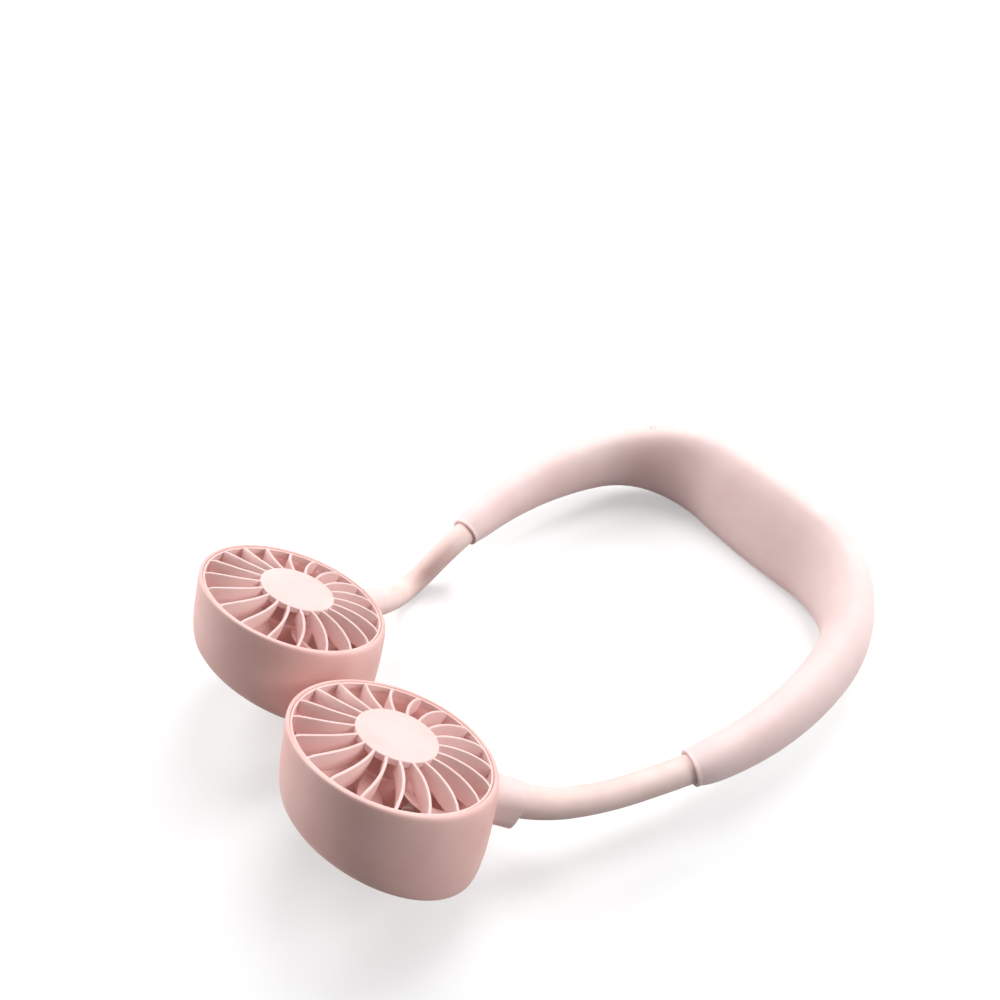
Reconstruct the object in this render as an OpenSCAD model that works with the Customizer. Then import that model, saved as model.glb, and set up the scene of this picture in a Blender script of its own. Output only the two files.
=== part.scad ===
// Wearable neck fan: a soft band that rests on the neck, with two
// goosenecks that each carry a small ducted fan.
// The band stands on the flat under its back. X runs from the wearer's
// right to the wearer's left, -Y points forward and Z points up.

/* [Band] */
// How much half of the straight back falls short of the room that one head needs
tuck = 24.7; // [14:0.1:28]
// Bend radius of the centre line at each rear corner
corner_r = 47.5; // [40:0.5:56]
// Angle that each rear corner turns
corner_angle = 74; // [64:1:78]
// Angle that each side turns on its way to the end
side_angle = 31.2; // [20:0.1:40]
// Length of each side, from the corner to the end
side_len = 73.5; // [55:0.5:85]
// Height of the band at the back
back_h = 42.5; // [38:0.5:50]
// Thickness of the band at the back
back_t = 16.4; // [14.5:0.1:20]
// Height that the sides taper from, towards the round ends
side_h = 31.5; // [16.5:0.5:34]
// Thickness that the sides taper from
side_t = 19.4; // [15:0.1:21]
// Diameter of the round ends
end_d = 14.6; // [13.8:0.1:17]
// How far the top of the back leans outwards for each unit of height
lean_share = 0.24; // [0:0.01:0.25]
// Where the bulk fades, as a share of the way from back to end
fade_share = 0.36; // [0.28:0.01:0.42]
// Depth of the flat under the back
foot_cut = 0.6; // [0.3:0.05:1]
// Wall of the shell and its lid
wall = 1.8; // [1.2:0.1:2.2]
// Gap at the seams between them
seam_gap = 0.25; // [0.15:0.05:0.5]

/* [Electronics] */
// Length of the battery
battery_len = 46; // [36:1:50]
// Height of the battery
battery_h = 29; // [22:0.5:30]
// Thickness of the battery
battery_t = 5; // [4:0.1:5.2]
// Thickness of the foam pad on the battery
pad_t = 0.8; // [0.5:0.1:1]
// Length of the circuit board
board_len = 50; // [44:1:54]
// Height of the circuit board
board_h = 27; // [24:0.5:28]
// Thickness of the circuit board
board_t = 1; // [0.8:0.1:1.2]
// Width of the charging socket
socket_w = 7.5; // [7:0.1:9]
// Thickness of the charging socket
socket_t = 2.7; // [2.4:0.1:3.2]
// Depth of the charging socket
socket_len = 5.4; // [5:0.1:7]
// Diameter of the power button
button_d = 8; // [6:0.1:10]
// How far the power button stands out of the cover
button_proud = 0.8; // [0.7:0.05:1.2]
// Travel of the power button
button_travel = 0.5; // [0.3:0.05:0.6]
// Diameter of the status light
light_d = 2; // [1.6:0.1:3]
// Diameter of the lead to each fan
lead_d = 2; // [1.6:0.1:2.4]

/* [Goosenecks] */
// Length of each of the three bends of a gooseneck
neck_arc = 20.9; // [19:0.1:30]
// Diameter of the soft sleeve
sleeve_d = 10.6; // [9.4:0.1:12]
// Diameter of the bendable core
core_d = 5.2; // [4.4:0.1:6]
// Length of the ferrule outside the band's end
ferrule_len = 3; // [2:0.1:5]
// Length of the ferrule's plug inside the band
plug_len = 8; // [5:0.5:12]

/* [Pose] */
// Bends of the left gooseneck, from the band to the head
left_bends = [3.7, 9.4, 21.5]; // [1:0.1:120]
// Direction of each of those bends, turned about the neck
left_rolls = [13.6, 45.7, 43.1]; // [-180:0.1:180]
// Turn of the left head about its collar
left_turn = 22.5; // [-180:0.1:180]
// Bends of the right gooseneck, from the band to the head
right_bends = [64.6, 101.4, 19.7]; // [1:0.1:120]
// Direction of each of those bends, turned about the neck
right_rolls = [150.4, -28.4, 76.7]; // [-180:0.1:180]
// Turn of the right head about its collar
right_turn = -9.8; // [-180:0.1:180]

/* [Fan heads] */
// Largest diameter of the drum
belly_d = 73.8; // [70:0.2:80]
// Depth of the drum at its middle, from rim to back
drum_depth = 33.1; // [32:0.1:38]
// How much deeper the drum is on the collar's side
heel_drop = 5.6; // [0:0.1:7]
// How much deeper the drum is on its inner side
side_drop = 2.5; // [0:0.1:3.5]
// How far the back of the drum is set towards the collar
heel_shift = 6.5; // [2:0.1:7]
// How far the back of the drum is set towards its inner side
side_shift = 2; // [0:0.1:2.5]
// Wall of the drum at its rim
rim_wall = 1.2; // [1:0.05:1.5]
// Depth of the front grille's seat in the rim
seat_depth = 3; // [2:0.1:4]
// Width of the ledge that the front grille rests on
seat_ledge = 3; // [2.4:0.1:3.6]
// Gap between the blade tips and the duct
tip_gap = 1; // [0.6:0.1:2]
// Depth at which the duct starts to narrow
duct_depth = 15.6; // [15.2:0.1:17]
// Diameter of the opening in the drum's back
rear_d = 41; // [36:0.1:45]
// Distance from the rim's plane to the collar's axis
collar_drop = 9; // [8:0.1:12]
// Diameter of the collar's tube
collar_d = 12.8; // [12:0.1:15]
// Length of the collar outside the drum's largest radius
collar_len = 8.5; // [7:0.1:14]
// How far the collar's lower lobe lies behind its tube
collar_step = 3.4; // [0:0.1:5]

/* [Grilles] */
// Number of vanes in the front grille
vanes = 20; // [12:1:28]
// Thickness of a front vane
vane_t = 1.1; // [0.8:0.1:1.6]
// Depth of a front vane
vane_depth = 4.6; // [3:0.1:5]
// Width of the front grille's ring
grille_ring_t = 1.2; // [1:0.1:2]
// Bend radius of a front vane, seen from the front
vane_bend_r = 32; // [24:1:60]
// Angle by which a vane's root leads its tip
vane_lead = 2; // [-10:0.5:10]
// Diameter of the flat hub disc
hub_disc_d = 28.4; // [24:0.2:32]
// How far the hub disc stands out of the rim's plane
dome = 3; // [1:0.1:5]
// Number of ribs in the rear grille
rear_ribs = 14; // [8:1:20]
// Thickness of a rear rib
rear_rib_t = 1.3; // [1:0.1:2]
// Thickness of the rear grille
rear_grille_t = 2.4; // [1.6:0.1:3]

/* [Impeller and motor] */
// Number of blades
blades = 7; // [5:1:9]
// Diameter of the impeller's hub
hub_d = 24; // [22:0.2:26]
// Height of the impeller's hub
hub_h = 11; // [10:0.1:12]
// Depth of the impeller's hub face below the rim's plane
hub_drop = 6; // [5.4:0.1:7]
// Wall of the impeller's hub
hub_wall = 1.3; // [1:0.05:1.6]
// Thickness of a blade
blade_t = 1.2; // [0.8:0.1:1.6]
// Diameter of the fan shaft
shaft_d = 2; // [1.5:0.1:2.4]
// Diameter of the bearing bush
bush_d = 4.8; // [4.2:0.1:5]
// Diameter of the stator
stator_d = 17.6; // [16:0.1:18]
// Thickness of the magnet ring
magnet_t = 1.1; // [0.9:0.05:1.3]

/* [Clearances] */
// Running gap between shaft and bush, on the radius
shaft_play = 0.04; // [0.01:0.01:0.08]
// Gap round pieces that are fitted together
fit_gap = 0.15; // [0.1:0.01:0.2]
// Gap between pieces that move past each other
move_gap = 0.35; // [0.3:0.05:0.5]
// Gap between the ends of two lengths of core
core_gap = 0.9; // [0.6:0.1:1]

/* [Hidden] */

LEFT = 1;
RIGHT = -1;
shell_colour = "mistyrose";
grille_colour = "lavenderblush";
part_colour = "gainsboro";
// Overrun of every cut
cut = 1;
$fn = 64;

// Centre line of the band
deg = 180 / PI;
drum_room_share = 0.68;
back_half = drum_room_share * belly_d - tuck;
side_r = side_len / side_angle * deg;
corner_len = corner_r * corner_angle / deg;
half_len = back_half + corner_len + side_len;
end_turn = corner_angle + side_angle;
mid_z = back_h / 2 - foot_cut;
// The back stands this far outwards, so that the origin is in the middle of the flat
foot_y = lean_share * mid_z;
fade_rate = 12;
side_x = back_half + (corner_r - side_r) * sin(corner_angle);
side_y = foot_y - corner_r + (corner_r - side_r) * cos(corner_angle);

// Heading of the centre line at distance s from the middle of the back
function turn(s) = s < back_half ? 0
  : s < back_half + corner_len ? (s - back_half) / corner_r * deg
  : corner_angle + (s - back_half - corner_len) / side_r * deg;

// Point of the centre line at distance s, on the left half
function centre(s) = s < back_half ? [s, foot_y]
  : s < back_half + corner_len ? [back_half + corner_r * sin(turn(s)), foot_y + corner_r * (cos(turn(s)) - 1)]
  : [side_x + side_r * sin(turn(s)), side_y + side_r * cos(turn(s))];

// Share of the back's bulk that is left at share q of the half length
function raw_bulk(q) = 1 / (1 + exp((q - fade_share) * fade_rate));
function bulk(q) = (raw_bulk(q) - raw_bulk(1)) / (raw_bulk(0) - raw_bulk(1));
function band_h(q) = side_h + (end_d - side_h) * q * q + (back_h - side_h) * bulk(q);
function band_t(q) = side_t + (end_d - side_t) * q * q + (back_t - side_t) * bulk(q);

// Point of the band's section: round at the ends, squarer at the back
function lobe(c, power) = sign(c) * pow(abs(c), 2 / power);
function section_point(q, a, inset) = let (power = 2 + bulk(q))
  [lobe(cos(a), power) * (band_t(q) / 2 - inset), lobe(sin(a), power) * (band_h(q) / 2 - inset)];

// Point in space at signed distance s from the middle of the back
function band_point(s, a, inset) = let (
    side = s < 0 ? RIGHT : LEFT, q = abs(s) / half_len, c = centre(abs(s)), h = turn(abs(s)),
    p = section_point(q, a, inset), out = p[0] + lean_share * bulk(q) * p[1])
  [side * (c[0] + out * sin(h)), c[1] + out * cos(h), mid_z + p[1]];

stations = 58;
shell_steps = 22;
lid_steps = 7;
function station(i) = half_len * (2 * i / stations - 1);

// Faces of a lofted solid with rings of n points
function loft_faces(rings, n) = [
  for (i = [0:rings - 2], j = [0:n - 1]) let (k = (j + 1) % n)
    each [[i * n + j, (i + 1) * n + k, i * n + k], [i * n + j, (i + 1) * n + j, (i + 1) * n + k]],
  [for (j = [0:n - 1]) j],
  [for (j = [n - 1:-1:0]) (rings - 1) * n + j]];

// Angles of the section at which the lid under the band meets the shell
seam_inner = 232;
seam_outer = -45;
seam_angle = seam_gap / back_h * deg;

// The wall of the band between two angles of its section
module band_wall(from, to, steps) {
  points = [for (i = [0:stations]) each [
    for (j = [0:steps]) band_point(station(i), from + (to - from) * j / steps, 0),
    for (j = [steps:-1:0]) band_point(station(i), from + (to - from) * j / steps, wall)]];
  polyhedron(points, loft_faces(stations + 1, 2 * (steps + 1)));
}

module main_shell() {
  color(shell_colour) difference() {
    band_wall(seam_outer + seam_angle, seam_inner - seam_angle, shell_steps);
    in_back() at_button() cylinder(r = button_d / 2 + move_gap, h = back_t);
    at_light() translate([0, 0, -2 * wall]) cylinder(d = light_d + 2 * fit_gap, h = 4 * wall);
  }
}

module bottom_cover() {
  color(shell_colour) difference() {
    band_wall(seam_inner + seam_angle, 360 + seam_outer - seam_angle, lid_steps);
    translate([-back_half - corner_r, -back_t, -back_h]) cube([2 * (back_half + corner_r), 2 * back_t, back_h]);
    in_back() socket_space(fit_gap);
  }
}

// Frame of the straight back: X along it, Y outwards, Z up the leaning wall
module in_back() {
  translate([0, foot_y, mid_z]) rotate([-atan(lean_share), 0, 0]) children();
}

board_y = back_t / 2 - wall - 5 * board_t;
board_z = (board_h - battery_h) / 2 - board_t;
battery_y = board_y - board_t - pad_t - battery_t / 2;

module battery() {
  edge = battery_t / 2;
  color("lightsteelblue") in_back() translate([0, battery_y, 0]) {
    cube([battery_len, battery_t, battery_h - battery_t], center = true);
    for (z = [-1, 1]) translate([0, 0, z * (battery_h / 2 - edge)])
      rotate([0, 90, 0]) cylinder(r = edge, h = battery_len, center = true);
  }
}

module battery_pad() {
  color("dimgray") in_back() translate([0, battery_y + (battery_t + pad_t) / 2, 0])
    cube([0.8 * battery_len, pad_t, 0.6 * battery_h], center = true);
}

module circuit_board() {
  color("seagreen") in_back() translate([0, board_y, board_z])
    cube([board_len, board_t, board_h], center = true);
}

// Charging socket at the lower edge of the board, open downwards
socket_x = 0.28 * board_len;
module socket_space(gap) {
  translate([socket_x, board_y + (board_t + socket_t) / 2, -mid_z])
    cube([socket_w + 2 * gap, socket_t + 2 * gap, 2 * mid_z - board_h + socket_len], center = true);
}

module usb_socket() {
  shell = socket_t / 9;
  tongue = socket_t / 4;
  top = board_z - board_h / 2 + socket_len;
  color("silver") in_back() translate([socket_x, board_y + board_t / 2 + socket_t / 2, top - 1.4 * socket_len]) {
    difference() {
      translate([-socket_w / 2, -socket_t / 2, 0]) cube([socket_w, socket_t, 1.4 * socket_len]);
      translate([-socket_w / 2 + shell, -socket_t / 2 + shell, -cut])
        cube([socket_w - 2 * shell, socket_t - 2 * shell, 1.2 * socket_len + cut]);
    }
    translate([-0.35 * socket_w, -tongue / 2, 0.4 * socket_len]) cube([0.7 * socket_w, tongue, 0.9 * socket_len]);
  }
}

// Power button on the back of the band, with its switch on the board
button_x = -0.32 * board_len;
module at_button() {
  translate([button_x, 0, 0]) rotate([-90, 0, 0]) children();
}
switch_w = 0.75 * button_d;
switch_h = 1.4 * board_t;
plunger_h = 0.5 * board_t;
button_seat = board_y + board_t / 2 + switch_h + plunger_h + button_travel + fit_gap / 2;

module tact_switch() {
  color("dimgray") in_back() at_button() translate([0, 0, board_y + board_t / 2]) {
    translate([-switch_w / 2, -switch_w / 2, 0]) cube([switch_w, switch_w, switch_h]);
    cylinder(d = 0.5 * switch_w, h = switch_h + plunger_h);
  }
}

module power_button() {
  top = back_t / 2 + button_proud;
  crown = 0.35 * button_proud;
  color("whitesmoke") in_back() at_button() {
    translate([0, 0, button_seat]) cylinder(d = button_d, h = top - crown - button_seat);
    translate([0, 0, top - crown]) cylinder(d1 = button_d, d2 = button_d - 2 * crown, h = crown);
  }
}

// Status light in the top of the band, past the right rear corner
light_share = 0.38;
module at_light() {
  s = light_share * half_len;
  c = centre(s);
  lift = lean_share * bulk(light_share) * band_h(light_share) / 2;
  translate([-c[0] - lift * sin(turn(s)), c[1] + lift * cos(turn(s)), mid_z + band_h(light_share) / 2]) children();
}

module status_light() {
  color("white") at_light() translate([0, 0, -0.8 * wall]) cylinder(d = light_d, h = 0.9 * wall);
}

// Lead from the board to the band's end, along the inside of the band
lead_sides = 8;
lead_steps = 34;
lead_from = board_len / 2 + fit_gap;
module lead(side) {
  reach = half_len - lead_from - plug_len - 2 * fit_gap;
  points = [for (i = [0:lead_steps], j = [0:lead_sides - 1]) let (
      s = lead_from + reach * i / lead_steps, a = 360 * j / lead_sides, c = centre(s), h = turn(s),
      out = board_y + lead_d / 2 * cos(a), up = lead_d / 2 * sin(a))
    [side * (c[0] + out * sin(h)), c[1] + out * cos(h), mid_z + up]];
  faces = loft_faces(lead_steps + 1, lead_sides);
  color("firebrick") polyhedron(points, side > 0 ? faces : [for (f = faces) [for (k = [len(f) - 1:-1:0]) f[k]]]);
}
module left_lead() { lead(LEFT); }
module right_lead() { lead(RIGHT); }

// Frame at the band's end: Z forwards along the band, X up
module at_band_end(side) {
  c = centre(half_len);
  translate([side * c[0], c[1], mid_z])
    rotate([0, -90, 180 + atan2(-sin(end_turn), side * cos(end_turn))]) children();
}

module ferrule(side) {
  plug_r = end_d / 2 - wall - fit_gap;
  rim = ferrule_len / 4;
  color(shell_colour) at_band_end(side) difference() {
    union() {
      translate([0, 0, -plug_len]) cylinder(r = plug_r, h = plug_len + rim);
      translate([0, 0, seam_gap]) cylinder(d = end_d, h = ferrule_len - rim - seam_gap);
      translate([0, 0, ferrule_len - rim]) cylinder(d1 = end_d, d2 = end_d - 2 * rim, h = rim);
    }
    translate([0, 0, -plug_len - cut]) cylinder(d = core_d + 2 * fit_gap, h = plug_len + ferrule_len + 2 * cut);
  }
}
module left_ferrule() { ferrule(LEFT); }
module right_ferrule() { ferrule(RIGHT); }

// The three bends of a gooseneck follow each other as arcs of one length
function bends(side) = side == LEFT ? left_bends : right_bends;
function rolls(side) = side == LEFT ? left_rolls : right_rolls;
function bend_r(bend) = neck_arc / bend * deg;

// Frame after a share of one bend
module past_bend(bend, roll, share) {
  a = bend * share;
  rotate([0, 0, roll]) translate([bend_r(bend) * (1 - cos(a)), 0, bend_r(bend) * sin(a)])
    rotate([0, a, 0]) rotate([0, 0, -roll]) children();
}

// Frame at the start of bend number k
module at_bend(side, k) {
  b = bends(side);
  r = rolls(side);
  at_band_end(side) translate([0, 0, ferrule_len])
    past_bend(b[0], r[0], k > 0 ? 1 : 0) past_bend(b[1], r[1], k > 1 ? 1 : 0) past_bend(b[2], r[2], k > 2 ? 1 : 0)
    children();
}

// Round tube along part of bend number k
module neck_tube(side, k, from, to, outer_d, bore_d) {
  b = bends(side)[k];
  at_bend(side, k) rotate([0, 0, rolls(side)[k]]) translate([bend_r(b), 0, 0]) rotate([90, 0, 180])
    rotate([0, 0, b * from]) rotate_extrude(angle = b * (to - from)) translate([bend_r(b), 0]) difference() {
      circle(d = outer_d);
      if (bore_d > 0) circle(d = bore_d);
    }
}

sleeve_end = 0.5 * fit_gap / neck_arc;
module sleeve(side, k) {
  color(shell_colour) neck_tube(side, k, sleeve_end, 1 - sleeve_end, sleeve_d, core_d + 2 * fit_gap);
}
module left_sleeve_base() { sleeve(LEFT, 0); }
module left_sleeve_middle() { sleeve(LEFT, 1); }
module left_sleeve_tip() { sleeve(LEFT, 2); }
module right_sleeve_base() { sleeve(RIGHT, 0); }
module right_sleeve_middle() { sleeve(RIGHT, 1); }
module right_sleeve_tip() { sleeve(RIGHT, 2); }

// Lengths of core meet ball to ball in the middle of each bend
ball_d = 0.92 * core_d;
ball_share = (ball_d + core_gap) / 2 / neck_arc;
slim_d = 0.97 * core_d;
lap_share = 0.02;
module core_ball(side, k, share) {
  at_bend(side, k) past_bend(bends(side)[k], rolls(side)[k], share) sphere(d = ball_d);
}

module core_length(side, k) {
  color("darkgray") {
    core_ball(side, k, 0.5 + ball_share);
    neck_tube(side, k, 0.5 + ball_share, 1, core_d, 0);
    neck_tube(side, k + 1, -lap_share, 0.5 - ball_share, slim_d, 0);
    core_ball(side, k + 1, 0.5 - ball_share);
  }
}

module core_base(side) {
  color("darkgray") {
    at_band_end(side) translate([0, 0, -plug_len]) cylinder(d = core_d, h = plug_len + ferrule_len);
    neck_tube(side, 0, -lap_share, 0.5 - ball_share, slim_d, 0);
    core_ball(side, 0, 0.5 - ball_share);
  }
}

module core_tip(side) {
  color("darkgray") {
    core_ball(side, 2, 0.5 + ball_share);
    neck_tube(side, 2, 0.5 + ball_share, 1 + lap_share, slim_d, 0);
    at_bend(side, 3) cylinder(d = core_d, h = collar_len + wall);
  }
}
module left_core_base() { core_base(LEFT); }
module left_core_lower() { core_length(LEFT, 0); }
module left_core_upper() { core_length(LEFT, 1); }
module left_core_tip() { core_tip(LEFT); }
module right_core_base() { core_base(RIGHT); }
module right_core_lower() { core_length(RIGHT, 0); }
module right_core_upper() { core_length(RIGHT, 1); }
module right_core_tip() { core_tip(RIGHT); }

// Frame of a head: origin at the middle of the rim, Z out of the front, X to the collar
module at_head(side) {
  at_bend(side, 3) rotate([0, 0, side == LEFT ? left_turn : right_turn])
    translate([collar_drop, 0, collar_len + belly_d / 2]) rotate([0, 90, 0]) children();
}

// Outline of the drum, as shares of its depth, its largest radius and its shift
drum_depth_shares = [0, 0.03, 0.12, 0.33, 0.58, 0.78, 0.9, 0.97, 1];
drum_r_shares = [0.962, 0.974, 0.985, 0.995, 1, 0.989, 0.966, 0.88, 0.785];
drum_shift_shares = [0, 0.06, 0.183, 0.412, 0.647, 0.82, 0.919, 0.976, 1];
drum_sides = 60;

// Fits inside the rim, from the grille's seat to the blades
seat_d = belly_d * drum_r_shares[0] - 2 * rim_wall;
duct_d = seat_d - 2 * seat_ledge;
impeller_d = duct_d - 2 * tip_gap;

// Skin of the drum, whose back slants so that it is deeper on the collar's side
module drum_solid(side, gap) {
  rings = len(drum_depth_shares);
  points = [for (i = [0:rings - 1], j = [0:drum_sides - 1]) let (
      a = -360 * j / drum_sides, r = belly_d / 2 * drum_r_shares[i] + gap, share = drum_depth_shares[i],
      x = heel_shift * drum_shift_shares[i] + r * cos(a), y = side * side_shift * drum_shift_shares[i] + r * sin(a),
      slant = (heel_drop * x + side * side_drop * y) / (belly_d / 2))
    [x, y, -share * (drum_depth + slant) + (i == 0 ? gap : i == rings - 1 ? -gap : 0)]];
  polyhedron(points, loft_faces(rings, drum_sides));
}

// The rear grille lies just inside the shallowest edge of the opening in the slanted back
back_depth = drum_depth - norm([heel_drop, side_drop]) * rear_d / belly_d - fit_gap;
rear_seat = back_depth - rear_grille_t;
module housing(side) {
  lip = 1.4 * wall;
  color(shell_colour) at_head(side) difference() {
    drum_solid(side, 0);
    rotate_extrude($fn = 96) polygon([
      [0, cut], [seat_d / 2, cut], [seat_d / 2, -seat_depth], [duct_d / 2, -seat_depth],
      [duct_d / 2, -duct_depth], [rear_d / 2 - lip, -rear_seat], [rear_d / 2, -rear_seat],
      [rear_d / 2, -2 * drum_depth], [0, -2 * drum_depth]]);
    translate([duct_d / 2 - wall, 0, -collar_drop]) rotate([0, 90, 0])
      cylinder(d = core_d + 2 * fit_gap, h = belly_d);
  }
}
module left_housing() { housing(LEFT); }
module right_housing() { housing(RIGHT); }

module collar_profile() {
  circle(d = collar_d);
  translate([0, -collar_d / 2]) square([collar_step, collar_d]);
  translate([collar_step, 0]) circle(d = collar_d);
}

module collar(side) {
  reach = belly_d / 2 + collar_len;
  start = belly_d / 2 - 2 * wall;
  lobe_end = reach - collar_len / 3.5;
  color(shell_colour) at_head(side) difference() {
    union() {
      translate([start, 0, -collar_drop]) rotate([0, 90, 0]) linear_extrude(lobe_end - start) collar_profile();
      translate([lobe_end - wall, 0, -collar_drop]) rotate([0, 90, 0]) cylinder(d = collar_d - fit_gap, h = reach - lobe_end + wall);
    }
    drum_solid(side, fit_gap / 2);
    translate([start - cut, 0, -collar_drop]) rotate([0, 90, 0])
      cylinder(d = core_d + 2 * fit_gap, h = reach - start + 2 * cut);
  }
}
module left_collar() { collar(LEFT); }
module right_collar() { collar(RIGHT); }

// Outline of a curved vane that runs from radius r1 to radius r2
vane_steps = 9;
module vane(r1, r2, lead, bend, thick) {
  a = [r1 * cos(lead), r1 * sin(lead)];
  b = [r2, 0];
  d = b - a;
  half = norm(d) / 2;
  n = [-d[1], d[0]] / norm(d);
  c = (a + b) / 2 - n * sqrt(bend * bend - half * half);
  spread = asin(half / bend);
  mid = atan2(n[1], n[0]);
  polygon([
    for (i = [0:vane_steps]) let (t = mid + spread - 2 * spread * i / vane_steps)
      c + (bend + thick / 2) * [cos(t), sin(t)],
    for (i = [vane_steps:-1:0]) let (t = mid + spread - 2 * spread * i / vane_steps)
      c + (bend - thick / 2) * [cos(t), sin(t)]]);
}

// Front grille: ring, flat hub disc and curved vanes under a shallow dome
module front_grille(side) {
  ring_r = seat_d / 2 - fit_gap;
  ring_t = grille_ring_t;
  hub_r = hub_disc_d / 2;
  edge = dome / 6;
  rim_z = -seat_depth / 6;
  vane_root = hub_r - 2 * edge;
  color(grille_colour) at_head(side) {
    translate([0, 0, -seat_depth]) difference() {
      cylinder(r = ring_r, h = seat_depth + rim_z, $fn = 96);
      translate([0, 0, -cut]) cylinder(r = ring_r - ring_t, h = seat_depth + 2 * cut, $fn = 96);
    }
    intersection() {
      translate([0, 0, -vane_depth - dome]) linear_extrude(2 * (vane_depth + dome))
        for (i = [0:vanes - 1]) rotate(360 * i / vanes)
          vane(vane_root, ring_r - ring_t / 2, vane_lead, vane_bend_r, vane_t);
      rotate_extrude($fn = 96) polygon([
        [vane_root - edge, dome - edge], [hub_r + ring_t, dome - edge], [(hub_r + ring_r) / 2, 0.72 * dome],
        [ring_r - 2 * ring_t, 0.24 * dome], [ring_r - ring_t / 2, rim_z],
        [ring_r - ring_t / 2, -seat_depth], [duct_d / 2 - move_gap, -seat_depth],
        [ring_r - 2 * ring_t, 0.24 * dome - vane_depth], [(hub_r + ring_r) / 2, 0.72 * dome - vane_depth],
        [vane_root - edge, dome - vane_depth]]);
    }
    translate([0, 0, dome - vane_depth / 2]) cylinder(r = hub_r, h = vane_depth / 2 - edge);
    translate([0, 0, dome - edge]) cylinder(r1 = hub_r, r2 = hub_r - edge, h = edge);
  }
}
module left_front_grille() { front_grille(LEFT); }
module right_front_grille() { front_grille(RIGHT); }

// Depths of the motor's pieces, measured down from the rim's plane
bearing_top = hub_drop + hub_h / 3;
stator_h = 0.62 * hub_h;
stator_base = bearing_top + 0.1 * hub_h + stator_h;
// The motor board lies in the room between the stator and the rear grille
board_room_share = 0.57554;
board_depth = stator_base + board_room_share * (rear_seat - stator_base);
tube_r = bush_d / 2 + wall / 2;
post_r = stator_d / 2.3;
screw_d = 0.8 * shaft_d;
motor_board_t = board_t;

module rear_grille(side) {
  outer_r = rear_d / 2 - fit_gap;
  ring_t = 1.2 * wall;
  plate_r = stator_d / 1.6;
  color(grille_colour) at_head(side) difference() {
    union() {
      translate([0, 0, -back_depth]) difference() {
        cylinder(r = outer_r, h = rear_grille_t - fit_gap);
        translate([0, 0, -cut]) cylinder(r = outer_r - ring_t, h = rear_grille_t + 2 * cut);
      }
      translate([0, 0, -back_depth]) linear_extrude(rear_grille_t - fit_gap)
        for (i = [0:rear_ribs - 1]) rotate(360 * i / rear_ribs)
          vane(plate_r - wall, outer_r - ring_t / 2, vane_lead, vane_bend_r, rear_rib_t);
      translate([0, 0, -back_depth]) cylinder(r = plate_r, h = rear_grille_t - fit_gap);
      translate([0, 0, -back_depth]) cylinder(r = tube_r + wall / 2, h = back_depth - stator_base);
      translate([0, 0, -back_depth]) cylinder(r = tube_r, h = back_depth - bearing_top);
      for (i = [0:2]) rotate(120 * i) translate([post_r, 0, -back_depth])
        cylinder(d = 2.4 * screw_d, h = back_depth - board_depth);
    }
    translate([0, 0, -back_depth + wall / 2]) cylinder(d = bush_d + fit_gap / 3, h = back_depth);
    for (i = [0:2]) rotate(120 * i) translate([post_r, 0, -back_depth + wall / 2])
      cylinder(d = screw_d + fit_gap, h = back_depth);
  }
}
module left_rear_grille() { rear_grille(LEFT); }
module right_rear_grille() { rear_grille(RIGHT); }

module motor_board(side) {
  color("seagreen") at_head(side) translate([0, 0, -board_depth]) difference() {
    cylinder(r = post_r + 1.6 * screw_d, h = motor_board_t);
    translate([0, 0, -cut]) cylinder(r = tube_r + wall / 2 + fit_gap, h = motor_board_t + 2 * cut);
    for (i = [0:2]) rotate(120 * i) translate([post_r, 0, -cut])
      cylinder(d = screw_d + 2 * fit_gap, h = motor_board_t + 2 * cut);
  }
}
module left_motor_board() { motor_board(LEFT); }
module right_motor_board() { motor_board(RIGHT); }

module motor_screws(side) {
  shank = 2.2 * screw_d;
  color("silver") at_head(side) for (i = [0:2]) rotate(120 * i)
    translate([post_r, 0, -board_depth + motor_board_t]) difference() {
      union() {
        cylinder(d = 1.8 * screw_d, h = screw_d / 2);
        translate([0, 0, -shank]) cylinder(d = screw_d, h = shank + screw_d / 4);
      }
      for (a = [0, 90]) rotate(a) translate([-screw_d / 2, -screw_d / 10, screw_d / 4]) cube([screw_d, screw_d / 5, screw_d]);
    }
}
module left_motor_screws() { motor_screws(LEFT); }
module right_motor_screws() { motor_screws(RIGHT); }

module stator(side) {
  slot_r = stator_d / 7;
  color("peru") at_head(side) translate([0, 0, -stator_base]) difference() {
    cylinder(d = stator_d, h = stator_h);
    translate([0, 0, -cut]) cylinder(r = tube_r + fit_gap / 3, h = stator_h + 2 * cut);
    for (i = [0:3]) rotate(45 + 90 * i) translate([0.37 * stator_d, 0, -cut]) {
      cylinder(r = slot_r, h = stator_h + 2 * cut);
      translate([0, -slot_r / 4, 0]) cube([stator_d, slot_r / 2, stator_h + 2 * cut]);
    }
  }
}
module left_stator() { stator(LEFT); }
module right_stator() { stator(RIGHT); }

bush_len = 0.45 * back_depth;
module bush(side) {
  color("goldenrod") at_head(side) translate([0, 0, -bearing_top - bush_len]) difference() {
    cylinder(d = bush_d, h = bush_len);
    translate([0, 0, -cut]) cylinder(r = shaft_d / 2 + shaft_play, h = bush_len + 2 * cut);
  }
}
module left_bush() { bush(LEFT); }
module right_bush() { bush(RIGHT); }

module shaft(side) {
  top = hub_drop + hub_wall / 3;
  color("silver") at_head(side) translate([0, 0, -bearing_top - 1.15 * bush_len])
    cylinder(d = shaft_d, h = bearing_top + 1.15 * bush_len - top);
}
module left_shaft() { shaft(LEFT); }
module right_shaft() { shaft(RIGHT); }

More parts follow.
